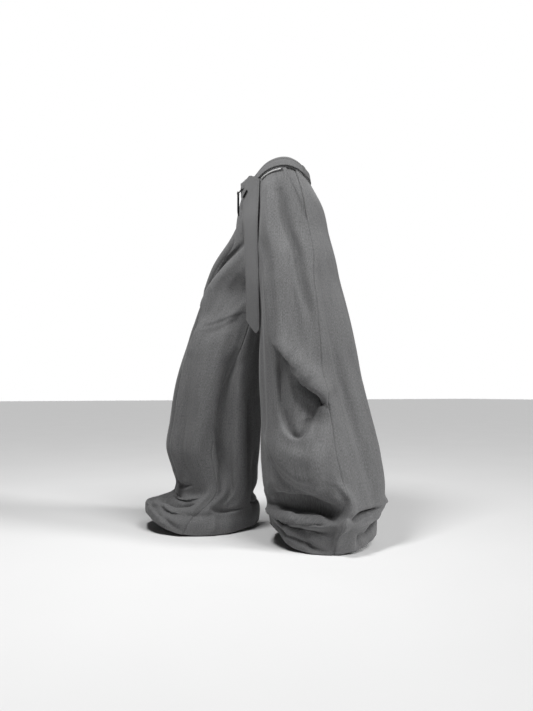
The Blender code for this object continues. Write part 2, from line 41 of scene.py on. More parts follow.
trousers = {
    "waistHeight": 1.028,
    "seamHeight": 1.012,
    "waistHalfX": 0.130,
    "waistHalfY": 0.090,
    "waistCentreY": 0.004,
    "waistLineEnds": 0.30,
    "bandHeight": 0.032,
    "beltLow": 0.0045,
    "beltHigh": 0.0275,
    "clothThick": 0.0016,
    "doubleThick": 0.0028,
    "seamGap": 0.0003,
    "crotchDrop": 0.318,
    "hemDrop": 1.110,
    "riseReach": 0.11,
    "riseHollow": 0.030,
    "pocketDrop": 0.150,
    "pocketAngle": 17.0,
    "pocketGape": 0.004,
    "metresPerDegree": 0.0024,
    "riseGuard": 0.045,
    "riseFade": 0.10,
    "guardFade": 0.08,
    "hemLiftStart": 0.93,
    "foldStart": 0.05,
    "creaseStart": 0.015,
}
# how high a fold or crease is at its ends, how steeply it falls off, and how far off it still counts
fold = {"ends": 0.45, "fall": 1.6}
crease = {"ends": 0.10, "swell": 0.7, "fall": 1.6, "reach": 2.2, "steps": 6}

# drop, height, x, y, halfX, halfY, side seam turn, inseam turn
leftRings = (
    (0.000, 1.012, 0.000, 0.004, 0.130, 0.090, 3, 0),
    (0.070, 0.944, 0.010, 0.020, 0.140, 0.110, 5, 0),
    (0.165, 0.850, 0.030, 0.025, 0.136, 0.119, 3, 0),
    (0.250, 0.767, 0.070, 0.031, 0.117, 0.115, 4, 0),
    (0.318, 0.700, 0.098, 0.031, 0.098, 0.120, 7, 0),
    (0.368, 0.652, 0.104, 0.036, 0.101, 0.125, 9, 0),
    (0.480, 0.542, 0.115, 0.044, 0.112, 0.135, 12, 4),
    (0.592, 0.432, 0.125, 0.051, 0.122, 0.142, 14, 6),
    (0.703, 0.322, 0.133, 0.062, 0.135, 0.151, 14, 6),
    (0.788, 0.239, 0.140, 0.067, 0.148, 0.161, 14, 6),
    (0.872, 0.156, 0.146, 0.073, 0.157, 0.164, 12, 6),
    (0.930, 0.110, 0.148, 0.075, 0.159, 0.158, 13, 6),
    (1.000, 0.065, 0.150, 0.070, 0.155, 0.150, 16, 6),
    (1.060, 0.034, 0.152, 0.066, 0.152, 0.144, 20, 6),
    (1.110, 0.000, 0.154, 0.064, 0.150, 0.138, 22, 6),
)
rightRings = (
    (0.000, 1.012, 0.000, 0.004, 0.130, 0.090, 3, 0),
    (0.070, 0.944, 0.010, 0.020, 0.140, 0.110, 5, 0),
    (0.165, 0.850, 0.030, 0.003, 0.135, 0.120, 3, 0),
    (0.250, 0.767, 0.070, -0.029, 0.115, 0.128, 4, 0),
    (0.318, 0.700, 0.098, -0.050, 0.098, 0.128, 7, 0),
    (0.368, 0.654, 0.102, -0.062, 0.099, 0.124, 9, 0),
    (0.465, 0.558, 0.115, -0.087, 0.109, 0.130, 12, 2),
    (0.590, 0.436, 0.135, -0.112, 0.125, 0.137, 14, 10),
    (0.713, 0.314, 0.155, -0.119, 0.138, 0.143, 14, 18),
    (0.796, 0.231, 0.168, -0.123, 0.148, 0.146, 13, 24),
    (0.868, 0.161, 0.175, -0.116, 0.152, 0.128, 12, 26),
    (0.925, 0.115, 0.178, -0.112, 0.155, 0.118, 13, 27),
    (1.000, 0.065, 0.180, -0.136, 0.154, 0.152, 16, 29),
    (1.060, 0.034, 0.180, -0.152, 0.158, 0.174, 19, 32),
    (1.110, 0.000, 0.180, -0.156, 0.158, 0.174, 21, 36),
)
waistLine = (
    (-90, -0.014), (-45, -0.014), (-20, -0.009), (0, 0.003), (15, 0.010),
    (35, 0.010), (55, 0.000), (75, -0.022), (90, -0.034),
)

# drop, turn, to drop, to turn, half width, out
leftFolds = (
    (0.030, 54, 0.260, 60, 0.036, 0.014),  # front pleat
    (0.260, 60, 0.540, 62, 0.046, 0.010),
    (0.080, 42, 0.300, 32, 0.045, -0.009),
    (0.300, 34, 0.520, 50, 0.050, -0.009),
    (0.330, 12, 0.560, 20, 0.050, 0.006),
    (0.480, 60, 0.600, 28, 0.040, 0.013),  # lip of the knee tuck
    (0.600, 28, 0.700, 14, 0.036, 0.013),
    (0.590, 44, 0.690, 34, 0.045, -0.024),  # hollow under the lip
    (0.560, 58, 0.700, 54, 0.032, -0.012),
    (0.700, 62, 0.850, 40, 0.050, 0.010),
    (0.760, 34, 0.860, 32, 0.060, 0.014),  # swag below the hollow
    (0.560, 4, 0.900, -18, 0.045, -0.012),
    (0.620, -34, 0.930, -34, 0.050, 0.008),
    (0.800, 100, 0.900, 92, 0.040, -0.008),
    (0.940, 104, 0.945, 24, 0.030, -0.034),  # puddle at the hem
    (0.992, 108, 0.985, 10, 0.026, 0.014),
    (1.030, 84, 1.030, 34, 0.024, -0.016),
    (0.900, 12, 1.100, 4, 0.040, 0.016),
    (1.080, -8, 1.010, -62, 0.034, -0.014),
    (0.950, -30, 0.930, -80, 0.030, 0.005),
    (0.960, -95, 0.960, -150, 0.034, -0.018),
    (1.010, -90, 1.010, -160, 0.026, 0.010),
    (0.500, -70, 0.800, -76, 0.050, -0.009),
    (0.350, -110, 0.700, -104, 0.050, 0.009),
    (0.600, -140, 0.860, -130, 0.050, -0.010),
    (0.620, 140, 0.880, 150, 0.050, -0.009),
    (0.450, 118, 0.800, 122, 0.050, 0.006),
    (0.960, 140, 0.960, 190, 0.030, -0.016),
)
rightFolds = (
    (0.030, 56, 0.300, 66, 0.042, 0.012),  # front pleat
    (0.080, 78, 0.330, 86, 0.036, -0.026),
    (0.080, 96, 0.330, 108, 0.040, 0.013),
    (0.300, 98, 0.430, 84, 0.044, 0.008),
    (0.400, 100, 0.420, 150, 0.036, -0.010),
    (0.430, 112, 0.520, 100, 0.050, 0.010),
    (0.520, 112, 0.880, 108, 0.034, 0.014),
    (0.600, 90, 0.860, 86, 0.032, -0.012),
    (0.560, 170, 1.040, 178, 0.042, -0.030),
    (0.640, 194, 1.000, 198, 0.036, 0.010),
    (0.480, 208, 0.900, 216, 0.045, -0.010),
    (0.500, 140, 0.860, 136, 0.050, 0.008),
    (0.960, 60, 0.975, 124, 0.026, -0.024),  # puddle at the hem
    (1.015, 52, 1.010, 118, 0.024, 0.005),
    (0.925, 90, 0.905, 130, 0.026, 0.008),
    (1.040, 100, 1.030, 160, 0.024, -0.012),
    (0.960, 20, 0.950, -40, 0.030, -0.020),
    (1.010, 10, 1.005, -50, 0.026, 0.010),
    (0.950, -80, 0.950, -140, 0.034, -0.014),
    (0.560, 36, 0.680, 6, 0.040, 0.012),
    (0.640, 30, 0.760, 14, 0.050, -0.018),
    (0.340, 30, 0.560, 44, 0.050, -0.009),
    (0.560, -40, 0.860, -44, 0.050, -0.010),
    (0.420, -84, 0.800, -80, 0.050, 0.009),
    (0.560, -126, 0.840, -120, 0.045, -0.010),
)

# Creases that the scene adds: a path of (turn, drop), how wide they fall off on the path's right-hand
# side and on its left, how far out they stand, and how far they lean to the right. Right and left are
# those of the path drawn on a sheet where turn runs to the right and drop runs down.
leftCreases = (
    ([(50, 0.004), (52, 0.10), (56, 0.22), (60, 0.36)], 0.026, 0.012, 0.004, -0.003),  # pressed pleat
    ([(38, 0.060), (34, 0.141), (28, 0.255), (21, 0.420)], 0.018, 0.016, -0.012, 0.0),
    ([(20, 0.170), (14, 0.300), (12, 0.440)], 0.020, 0.020, 0.004, 0.0),
    ([(76, 0.200), (78, 0.340), (74, 0.480)], 0.016, 0.022, 0.004, 0.0),
    ([(70, 0.488), (58, 0.512), (48, 0.538), (40, 0.562)], 0.020, 0.004, 0.009, -0.007),  # knee tuck
    ([(66, 0.512), (55, 0.536), (46, 0.562)], 0.004, 0.012, -0.010, 0.0),
    ([(50, 0.550), (41, 0.572), (31, 0.602), (22, 0.632), (16, 0.650)], 0.044, 0.007, 0.020, -0.006),
    ([(43, 0.590), (37, 0.602), (30, 0.622), (23, 0.642), (18, 0.656)], 0.007, 0.018, -0.056, 0.0),
    ([(60, 0.500), (65, 0.570), (67, 0.650), (61, 0.725)], 0.022, 0.010, -0.016, 0.0),
    ([(65, 0.670), (58, 0.722), (48, 0.737), (38, 0.712), (24, 0.640)], 0.022, 0.007, -0.020, 0.0),
    ([(56, 0.570), (54, 0.640), (47, 0.690)], 0.018, 0.018, 0.010, 0.0),
    (
        [(84, 0.690), (70, 0.758), (50, 0.790), (36, 0.785), (25, 0.735), (20, 0.690)],
        0.022, 0.030, 0.009, 0.0,
    ),
    (
        [(98, 0.730), (74, 0.782), (54, 0.826), (40, 0.836), (28, 0.794), (19, 0.714)],
        0.028, 0.022, 0.014, -0.004,
    ),
    ([(96, 0.800), (72, 0.850), (52, 0.884), (36, 0.890), (24, 0.850)], 0.016, 0.026, -0.012, 0.0),
    ([(104, 0.904), (76, 0.918), (52, 0.930), (34, 0.942), (20, 0.960)], 0.040, 0.014, -0.034, 0.0),
    ([(108, 0.984), (86, 0.980), (57, 0.972), (30, 0.962)], 0.008, 0.011, 0.014, 0.008),  # roll at the foot
    ([(80, 1.004), (62, 0.994), (46, 0.989), (32, 0.979)], 0.006, 0.009, -0.024, 0.0),
    ([(98, 1.038), (74, 1.052), (48, 1.034), (28, 1.046)], 0.010, 0.018, 0.009, 0.003),
    ([(92, 1.086), (70, 1.070), (48, 1.082), (30, 1.100)], 0.010, 0.012, -0.010, 0.0),
    ([(78, 1.016), (70, 1.060), (74, 1.108)], 0.012, 0.008, 0.008, 0.0),
    ([(52, 1.030), (48, 1.070), (42, 1.108)], 0.010, 0.012, -0.007, 0.0),
    ([(0, 1.030), (-6, 1.070), (-4, 1.108)], 0.012, 0.010, -0.008, 0.0),
    ([(18, 0.850), (10, 0.900), (11, 0.951), (17, 1.002), (21, 1.095)], 0.016, 0.007, 0.017, 0.0),
    ([(10, 0.968), (-6, 0.950), (-34, 0.946)], 0.010, 0.014, -0.028, 0.0),
    ([(4, 1.010), (-20, 0.990), (-44, 0.985)], 0.012, 0.016, 0.008, 0.0),
    ([(-2, 1.075), (-30, 1.050), (-62, 1.010)], 0.012, 0.016, -0.010, 0.0),
    ([(-3, 0.280), (-3, 0.440), (-8, 0.600), (-13, 0.740), (-16, 0.880)], 0.022, 0.014, -0.011, 0.0),
    ([(-30, 0.320), (-36, 0.560), (-38, 0.800)], 0.026, 0.022, 0.007, 0.0),
    ([(-50, 0.30), (-56, 0.60), (-52, 0.90)], 0.030, 0.024, 0.005, 0.0),
    ([(-74, 0.20), (-78, 0.44), (-70, 0.66)], 0.022, 0.030, -0.005, 0.0),
    ([(-92, 0.35), (-96, 0.62), (-88, 0.90)], 0.024, 0.034, 0.006, 0.0),
    ([(-122, 0.50), (-126, 0.72), (-116, 0.93)], 0.022, 0.024, -0.007, 0.0),
    ([(-150, 0.46), (-152, 0.70), (-142, 0.90)], 0.022, 0.022, 0.006, 0.0),
    ([(150, 0.50), (160, 0.72), (168, 0.92)], 0.026, 0.020, 0.006, 0.0),
    ([(-40, 0.925), (-66, 0.935), (-96, 0.925)], 0.016, 0.010, 0.007, -0.003),
    ([(-86, 0.975), (-120, 0.990), (-160, 0.975)], 0.010, 0.014, -0.013, 0.0),
    ([(-70, 1.030), (-104, 1.040), (-136, 1.030)], 0.012, 0.012, 0.006, 0.0),
    ([(150, 0.985), (176, 1.000), (206, 0.985)], 0.010, 0.014, -0.013, 0.0),
)
rightCreases = (
    ([(60, 0.004), (63, 0.10), (66, 0.22), (70, 0.32)], 0.030, 0.012, 0.006, -0.004),  # pressed pleat
    ([(64, 0.060), (70, 0.138), (77, 0.192), (88, 0.310), (98, 0.430)], 0.004, 0.030, 0.013, 0.010),
    (
        [(52, 0.080), (60, 0.138), (68, 0.192), (80, 0.310), (89, 0.410), (91, 0.490)],
        0.014, 0.012, -0.042, 0.0,
    ),
    ([(108, 0.430), (134, 0.416), (168, 0.386)], 0.008, 0.026, 0.004, 0.002),
    ([(110, 0.456), (138, 0.446), (166, 0.412)], 0.026, 0.010, -0.004, 0.0),
    ([(112, 0.500), (117, 0.660), (118, 0.800), (112, 0.890)], 0.020, 0.016, -0.014, 0.0),
    ([(132, 0.480), (138, 0.620), (141, 0.760), (133, 0.880)], 0.020, 0.024, 0.010, 0.0),
    ([(90, 0.560), (88, 0.740), (84, 0.880)], 0.016, 0.020, -0.008, 0.0),
    ([(172, 0.510), (167, 0.620), (165, 0.720), (169, 0.830), (158, 0.945)], 0.016, 0.012, -0.026, 0.0),
    ([(182, 0.560), (185, 0.740), (184, 0.900), (176, 0.985)], 0.008, 0.018, 0.012, 0.0),
    ([(198, 0.600), (203, 0.780), (202, 0.960)], 0.014, 0.018, -0.011, 0.0),
    ([(212, 0.540), (217, 0.680), (216, 0.800)], 0.018, 0.018, 0.006, 0.0),
    ([(217, 0.800), (221, 0.920), (219, 1.070)], 0.018, 0.018, -0.012, 0.0),
    ([(64, 0.946), (92, 0.960), (114, 0.962), (136, 0.946)], 0.005, 0.018, 0.010, 0.008),
    ([(70, 0.980), (96, 0.990), (118, 0.988), (138, 0.974)], 0.008, 0.006, -0.022, 0.0),
    ([(84, 0.904), (102, 0.914), (122, 0.900)], 0.008, 0.010, -0.014, 0.0),
    ([(62, 1.000), (86, 1.036), (112, 1.062), (142, 1.098)], 0.012, 0.016, -0.010, 0.0),
    ([(100, 1.000), (126, 1.030), (152, 1.040)], 0.012, 0.016, 0.009, 0.0),
    ([(96, 1.040), (90, 1.075), (93, 1.108)], 0.012, 0.010, -0.008, 0.0),
    ([(118, 1.060), (122, 1.084), (118, 1.108)], 0.012, 0.010, 0.007, 0.0),
    ([(168, 1.030), (172, 1.070), (168, 1.108)], 0.012, 0.012, 0.007, 0.0),
    ([(146, 0.90), (143, 0.98), (147, 1.06)], 0.014, 0.012, 0.007, 0.0),
    ([(160, 0.985), (178, 1.010), (200, 1.000)], 0.010, 0.012, -0.010, 0.0),
    ([(34, 0.40), (40, 0.56), (46, 0.70)], 0.030, 0.024, -0.005, 0.0),
    ([(36, 0.545), (22, 0.585), (8, 0.670)], 0.030, 0.005, 0.013, -0.012),
    ([(30, 0.600), (18, 0.640), (10, 0.685)], 0.008, 0.028, -0.024, 0.0),
    ([(46, 0.72), (28, 0.79), (8, 0.79), (-8, 0.72)], 0.026, 0.010, 0.008, 0.0),
    ([(-30, 0.30), (-34, 0.56), (-30, 0.84)], 0.024, 0.026, -0.005, 0.0),
    ([(-60, 0.40), (-64, 0.66), (-56, 0.90)], 0.026, 0.024, 0.006, 0.0),
    ([(-104, 0.45), (-100, 0.70), (-106, 0.90)], 0.022, 0.024, -0.007, 0.0),
    ([(-134, 0.42), (-130, 0.66), (-134, 0.88)], 0.024, 0.020, 0.006, 0.0),
    ([(24, 0.900), (0, 0.925), (-30, 0.915)], 0.016, 0.010, 0.008, -0.003),
    ([(40, 0.985), (10, 0.998), (-18, 0.985)], 0.010, 0.014, -0.012, 0.0),
    ([(-20, 0.975), (-46, 0.990), (-80, 0.975)], 0.010, 0.014, -0.013, 0.0),
    ([(-40, 1.030), (-70, 1.040), (-104, 1.030)], 0.012, 0.012, 0.006, 0.0),
    ([(-100, 0.985), (-124, 0.992), (-150, 0.980)], 0.010, 0.014, -0.010, 0.0),
)
legs = {  # the hem's lifts are a turn, how wide and how high
    "left": {
        "out": 1.0, "rings": leftRings, "folds": leftFolds, "creases": leftCreases,
        "lifts": ((108, 34, 0.050), (-50, 42, 0.026)),
    },
    "right": {
        "out": -1.0, "rings": rightRings, "folds": rightFolds, "creases": rightCreases,
        "lifts": ((80, 42, 0.054), (-130, 40, 0.010)),
    },
}


def smoothRows(rows, key):  # every column of a table at the given keys
    table = np.array(rows, float)
    keys = table[:, 0]
    slopes = np.gradient(table, keys, axis=0)
    key = np.asarray(key, float)
    k = np.clip(np.searchsorted(keys, key) - 1, 0, len(keys) - 2)
    step = keys[k + 1] - keys[k]
    t = ((key - keys[k]) / step)[..., None]
    step = step[..., None]
    return (
        (2 * t**3 - 3 * t**2 + 1) * table[k]
        + (t**3 - 2 * t**2 + t) * step * slopes[k]
        + (3 * t**2 - 2 * t**3) * table[k + 1]
        + (t**3 - t**2) * step * slopes[k + 1]
    )


def ease(t):
    t = np.clip(t, 0.0, 1.0)
    return t * t * (3 - 2 * t)


def ringAt(leg, drop):
    values = smoothRows(legs[leg]["rings"], drop)
    names = ("drop", "height", "x", "y", "halfX", "halfY", "side", "inseam")
    return {name: values[..., i] for i, name in enumerate(names)}


def riseTurn(ring):
    return np.degrees(np.arccos(np.clip(-ring["x"] / ring["halfX"], -1.0, 1.0)))


def foldOffset(leg, drop, turn):
    total = np.zeros(np.broadcast(drop, turn).shape)
    perDegree = trousers["metresPerDegree"]
    for startDrop, startTurn, endDrop, endTurn, halfWidth, out in legs[leg]["folds"]:
        alongS = (endTurn - startTurn) * perDegree
        alongD = endDrop - startDrop
        for lap in (-360.0, 0.0, 360.0):
            s = (turn + lap - startTurn) * perDegree
            d = drop - startDrop
            t = np.clip((s * alongS + d * alongD) / (alongS**2 + alongD**2), 0.0, 1.0)
            away = np.hypot(s - t * alongS, d - t * alongD) / halfWidth
            swell = fold["ends"] + (1 - fold["ends"]) * np.sin(math.pi * t)
            total += out * swell * np.exp(-fold["fall"] * away**2)
    return total


def waistRise(turn):
    return smoothRows(waistLine, np.clip(turn, -90.0, 90.0))[..., 1]


def hemLift(leg, drop, turn):
    total = 0.0
    for middle, spread, lift in legs[leg]["lifts"]:
        away = (turn - middle + 180.0) % 360.0 - 180.0
        total = total + lift * np.exp(-((away / spread) ** 2))
    start = trousers["hemLiftStart"]
    return total * ease((drop - start) / (trousers["hemDrop"] - start))


def seamGuard(drop, x):  # 0 at the rise seams, 1 away from them
    below = ease((drop - trousers["crotchDrop"]) / trousers["guardFade"])
    return np.maximum(ease(x / trousers["riseGuard"]), below)


def clothPoint(leg, drop, turn):
    ring = ringAt(leg, drop)
    angle = np.radians(turn)
    x = ring["x"] + ring["halfX"] * np.cos(angle)
    y = ring["y"] - ring["halfY"] * np.sin(angle)
    z = ring["height"]
    end = riseTurn(ring)
    front = np.where(turn > 0, 1.0, -1.0)
    ownY = ring["y"] - front * ring["halfY"] * np.sin(np.radians(end))
    crotch = trousers["crotchDrop"]
    upper = np.minimum(drop, crotch)
    sharedY = 0.0
    sharedZ = 0.0
    for side in legs:
        other = ringAt(side, upper)
        otherEnd = np.radians(riseTurn(other))
        sharedY = sharedY + 0.5 * (other["y"] - front * other["halfY"] * np.sin(otherEnd))
        sharedZ = sharedZ + 0.5 * other["height"]
    share = np.clip(upper / crotch, 0.0, 1.0)
    hollow = trousers["riseHollow"] * np.sin(math.pi * share) * ease((1 - share) / 0.5)
    sharedY = sharedY + np.where(front > 0, hollow, 0.0)
    near = 1 - ease(x / trousers["riseReach"])
    below = 1 - ease((drop - crotch) / trousers["riseFade"])
    y = y + (sharedY - ownY) * near * below
    z = z + np.where(drop < crotch, sharedZ - z, 0.0) * near
    z = z + waistRise(turn * 90.0 / end) * (1 - ease(drop / trousers["waistLineEnds"]))
    z = z + hemLift(leg, drop, turn) - trousers["waistHeight"]
    outX = np.cos(angle) / ring["halfX"]
    outY = -np.sin(angle) / ring["halfY"]
    size = np.hypot(outX, outY)
    offset = foldOffset(leg, drop, turn) * seamGuard(drop, x) * ease(drop / trousers["foldStart"])
    x = x + offset * outX / size
    y = y + offset * outY / size
    return np.stack([legs[leg]["out"] * x, y, z], axis=-1)


def curveThrough(path, count):  # smooth points through a short path
    points = np.array(path, float)
    keys = np.arange(len(points), dtype=float)
    table = np.column_stack([keys, points])
    return smoothRows(table, np.linspace(0, keys[-1], count))[:, 1:]


def creaseOffset(leg, drop, turn):  # out, and along the cloth in turn and in drop
    total = np.zeros((3, turn.size))
    perDegree = trousers["metresPerDegree"]
    allD = np.broadcast_to(drop, turn.shape).ravel()
    for path, plus, minus, high, lean in legs[leg]["creases"]:
        line = curveThrough(path, crease["steps"] * len(path)) * (perDegree, 1.0)
        reach = crease["reach"] * max(plus, minus)
        low, top = line.min(axis=0) - reach, line.max(axis=0) + reach
        for lap in (-360.0, 0.0, 360.0):
            allS = (turn.ravel() + lap) * perDegree
            inside = (allS > low[0]) & (allS < top[0]) & (allD > low[1]) & (allD < top[1])
            near = np.flatnonzero(inside)
            if not len(near):
                continue
            step = np.diff(line, axis=0)
            length = np.hypot(step[:, 0], step[:, 1])
            ds = allS[near, None] - line[:-1, 0]
            dd = allD[near, None] - line[:-1, 1]
            t = np.clip((ds * step[:, 0] + dd * step[:, 1]) / length**2, 0.0, 1.0)
            away = np.hypot(ds - t * step[:, 0], dd - t * step[:, 1])
            best = away.argmin(axis=1)
            row = np.arange(len(near))
            away = away[row, best]
            side = step[best, 0] * dd[row, best] - step[best, 1] * ds[row, best]
            share = (best + t[row, best]) / len(step)
            along = crease["ends"] + (1 - crease["ends"]) * np.sin(math.pi * share) ** crease["swell"]
            amount = along * np.exp(-crease["fall"] * (away / np.where(side > 0, plus, minus)) ** 2)
            total[0, near] += high * amount
            total[1, near] -= lean * amount * step[best, 1] / length[best]
            total[2, near] += lean * amount * step[best, 0] / length[best]
    return total.reshape((3,) + turn.shape)


hanging = {
    # height, waves round the leg, radians for each metre down, start, and how much the leg shifts it
    "waves": (
        (0.0011, 9, 3.0, 0.0, 1.0), (0.0008, 14, -4.5, 2.1, 1.0),
        (0.0006, 23, 7.0, 0.0, 4.0), (0.0008, 4, 21.0, 0.0, 1.0),
    ),
    "shift": {"left": 0.0, "right": 1.7},
    "start": 0.05,
    "fade": 0.25,
}


def hangingWaves(leg, drop, turn):  # the slight unevenness of hanging cloth
    a = np.radians(turn)
    shift = hanging["shift"][leg]
    total = 0.0
    for high, around, down, start, own in hanging["waves"]:
        total = total + high * np.sin(around * a + down * drop + start + own * shift)
    return total * ease((drop - hanging["start"]) / hanging["fade"])


def unit(vectors):
    return vectors / np.linalg.norm(vectors, axis=-1, keepdims=True)


def clothSheet(leg, drop, turn):  # the finished outer points and outward directions on a whole grid
    base = clothPoint(leg, drop, turn)
    small = 0.0006
    downward = unit(clothPoint(leg, drop + small, turn) - clothPoint(leg, drop - small, turn))
    forward = unit(clothPoint(leg, drop, turn + 0.2) - clothPoint(leg, drop, turn - 0.2))
    normal = unit(np.cross(forward, downward)) * legs[leg]["out"]
    out, alongTurn, alongDrop = creaseOffset(leg, drop, turn)
    guard = seamGuard(drop, np.abs(base[..., 0])) * ease(drop / trousers["creaseStart"])
    lifted = normal * (out + hangingWaves(leg, drop, turn))[..., None]
    leaned = forward * alongTurn[..., None] + downward * alongDrop[..., None]
    return base + guard[..., None] * (lifted + leaned), normal


def sideTurn(leg, drop):
    return ringAt(leg, drop)["side"]


def pocketTurn(leg, drop):
    share = np.clip(1 - drop / trousers["pocketDrop"], 0.0, 1.0)
    return sideTurn(leg, drop) + trousers["pocketAngle"] * share


def innerTurn(leg, drop, face):
    ring = ringAt(leg, drop)
    past = ring["inseam"] * ease((drop - trousers["crotchDrop"]) / 0.05)
    if face == "front":
        return np.where(drop < trousers["crotchDrop"], riseTurn(ring), 180.0 - past)
    return np.where(drop < trousers["crotchDrop"], -riseTurn(ring), -180.0 - past)


def bandPoint(angle, up, out):  # degrees round the waist, height over the seam, and out
    a = np.radians(angle)
    up = np.asarray(up, float)
    lean = 1 - 0.05 * up / trousers["bandHeight"]
    x = trousers["waistHalfX"] * np.cos(a) * lean
    y = -trousers["waistHalfY"] * np.sin(a) * lean
    outX = np.cos(a) / trousers["waistHalfX"]
    outY = -np.sin(a) / trousers["waistHalfY"]
    size = np.hypot(outX, outY)
    fromSide = np.degrees(np.arcsin(np.clip(np.sin(a), -1.0, 1.0)))
    z = trousers["seamHeight"] - trousers["waistHeight"] + up + waistRise(fromSide)
    x, y, z = np.broadcast_arrays(x + out * outX / size, trousers["waistCentreY"] + y + out * outY / size, z)
    return np.stack([x, y, z], axis=-1)


class Value:  # wraps a socket, so that shader maths reads as maths
    def __init__(self, tree, socket):
        self.tree = tree
        self.socket = socket

    def maths(self, operation, other, swap=False):
        node = self.tree.nodes.new("ShaderNodeMath")
        node.operation = operation
        first, second = (other, self) if swap else (self, other)
        for entry, value in zip(node.inputs, (first, second)):
            if isinstance(value, Value):
                self.tree.links.new(value.socket, entry)
            else:
                entry.default_value = value
        return Value(self.tree, node.outputs[0])

    def __add__(self, other):
        return self.maths("ADD", other)

    def __radd__(self, other):
        return self.maths("ADD", other, True)

    def __sub__(self, other):
        return self.maths("SUBTRACT", other)

    def __rsub__(self, other):
        return self.maths("SUBTRACT", other, True)

    def __mul__(self, other):
        return self.maths("MULTIPLY", other)

    def __rmul__(self, other):
        return self.maths("MULTIPLY", other, True)


class Finish:  # one material and the few ways that its nodes are made
    def __init__(self, name):
        self.material = bpy.data.materials.new(name)
        self.material.use_nodes = True
        self.tree = self.material.node_tree
        self.shader = self.tree.nodes["Principled BSDF"]

    def node(self, kind, settings=None, **inputs):
        made = self.tree.nodes.new(kind)
        for name, value in (settings or {}).items():
            setattr(made, name, value)
        for name, value in inputs.items():
            self.feed(made.inputs[name.replace("_", " ")], value)
        return made

    def feed(self, entry, value):
        if isinstance(value, Value):
            self.tree.links.new(value.socket, entry)
        else:
            entry.default_value = value

    def surface(self, **inputs):  # sets the shader's own sockets
        for name, value in inputs.items():
            self.feed(self.shader.inputs[name.replace("_", " ")], value)

    def value(self, socket):
        return Value(self.tree, socket)

    def ownPlace(self):
        return self.value(self.node("ShaderNodeTexCoord").outputs["Object"])

    def noise(self, place, scale, detail=2.0, roughness=0.5):
        made = self.node("ShaderNodeTexNoise", Vector=place, Scale=scale, Detail=detail, Roughness=roughness)
        return self.value(made.outputs["Fac"])

    def stretched(self, place, size):
        made = self.node("ShaderNodeMapping", Vector=place, Scale=size)
        return self.value(made.outputs["Vector"])

    def mix(self, factor, first, second):
        made = self.node("ShaderNodeMix", {"data_type": "RGBA"})
        self.feed(made.inputs["Factor"], factor)
        self.feed(made.inputs["A"], first)
        self.feed(made.inputs["B"], second)
        return Value(self.tree, made.outputs["Result"])

    def limit(self, value, low, high):
        made = self.node("ShaderNodeMapRange", Value=value, From_Min=low, From_Max=high)
        return self.value(made.outputs["Result"])


def woolFinish(name, look):
    finish = Finish(name)
    place = finish.value(finish.node("ShaderNodeUVMap", {"uv_map": "cloth"}).outputs["UV"])
    fibres = finish.noise(finish.stretched(place, (430.0, 180.0, 1.0)), 1.0, 4.0, 0.75)
    streaks = finish.noise(finish.stretched(place, (420.0, 20.0, 1.0)), 1.0, 2.0, 0.5)
    patches = finish.noise(finish.stretched(place, (24.0, 9.0, 1.0)), 1.0, 2.0, 0.5)
    tone = finish.limit(0.70 * fibres + 0.22 * streaks + 0.08 * patches, 0.36, 0.64)
    dark = (*look["dark"], 1.0)
    light = (*look["light"], 1.0)
    finish.surface(Base_Color=finish.mix(tone, dark, light), Roughness=0.98 - 0.10 * fibres)
    finish.surface(Specular_IOR_Level=0.25, Sheen_Weight=look["sheen"], Sheen_Roughness=0.45)
    slant = finish.stretched(place, (1.0, 0.5, 1.0))
    bands = {"wave_type": "BANDS", "bands_direction": "DIAGONAL"}
    twill = finish.node("ShaderNodeTexWave", bands, Vector=slant, Scale=260.0, Distortion=1.5, Detail=1.0)
    height = finish.value(twill.outputs["Fac"]) * 0.5 + fibres * 0.6 + streaks * 0.2
    bump = finish.node("ShaderNodeBump", Height=height, Strength=0.25, Distance=0.0003)
    finish.surface(Normal=finish.value(bump.outputs["Normal"]))
    return finish.material


woolLook = {"dark": (0.074, 0.074, 0.075), "light": (0.170, 0.170, 0.172), "sheen": 0.14}
wool = woolFinish("wool", woolLook)


def metalFinish():
    finish = Finish("blackMetal")
    wear = finish.noise(finish.ownPlace(), 420.0, 3.0)
    tone = finish.mix(wear, (0.006, 0.006, 0.007, 1), (0.018, 0.018, 0.019, 1))
    finish.surface(Base_Color=tone, Roughness=0.28 + 0.2 * wear, Metallic=0.85)
    return finish.material


def pipingFinish():
    finish = Finish("palePiping")
    turns = finish.noise(finish.ownPlace(), 900.0, 2.0)
    tone = finish.mix(turns, (0.30, 0.30, 0.30, 1), (0.62, 0.62, 0.61, 1))
    bump = finish.node("ShaderNodeBump", Height=turns, Strength=0.3, Distance=0.0003)
    finish.surface(Base_Color=tone, Roughness=0.45 + 0.2 * turns, Normal=finish.value(bump.outputs["Normal"]))
    return finish.material


def threadFinish():
    finish = Finish("darkThread")
    twist = finish.noise(finish.ownPlace(), 2500.0, 1.0)
    tone = finish.mix(twist, (0.03, 0.03, 0.031, 1), (0.07, 0.07, 0.071, 1))
    finish.surface(Base_Color=tone, Roughness=0.7)
    return finish.material


blackMetal = metalFinish()
palePiping = pipingFinish()
darkThread = threadFinish()
print("materials made")


def addPiece(name, mesh, material, nodes):
    piece = bpy.data.objects.new(name, mesh)
    bpy.context.scene.collection.objects.link(piece)
    piece.data.materials.clear()
    piece.data.materials.append(material)
    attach(piece, "root")
    if nodes:
        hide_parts(*nodes)
    return piece


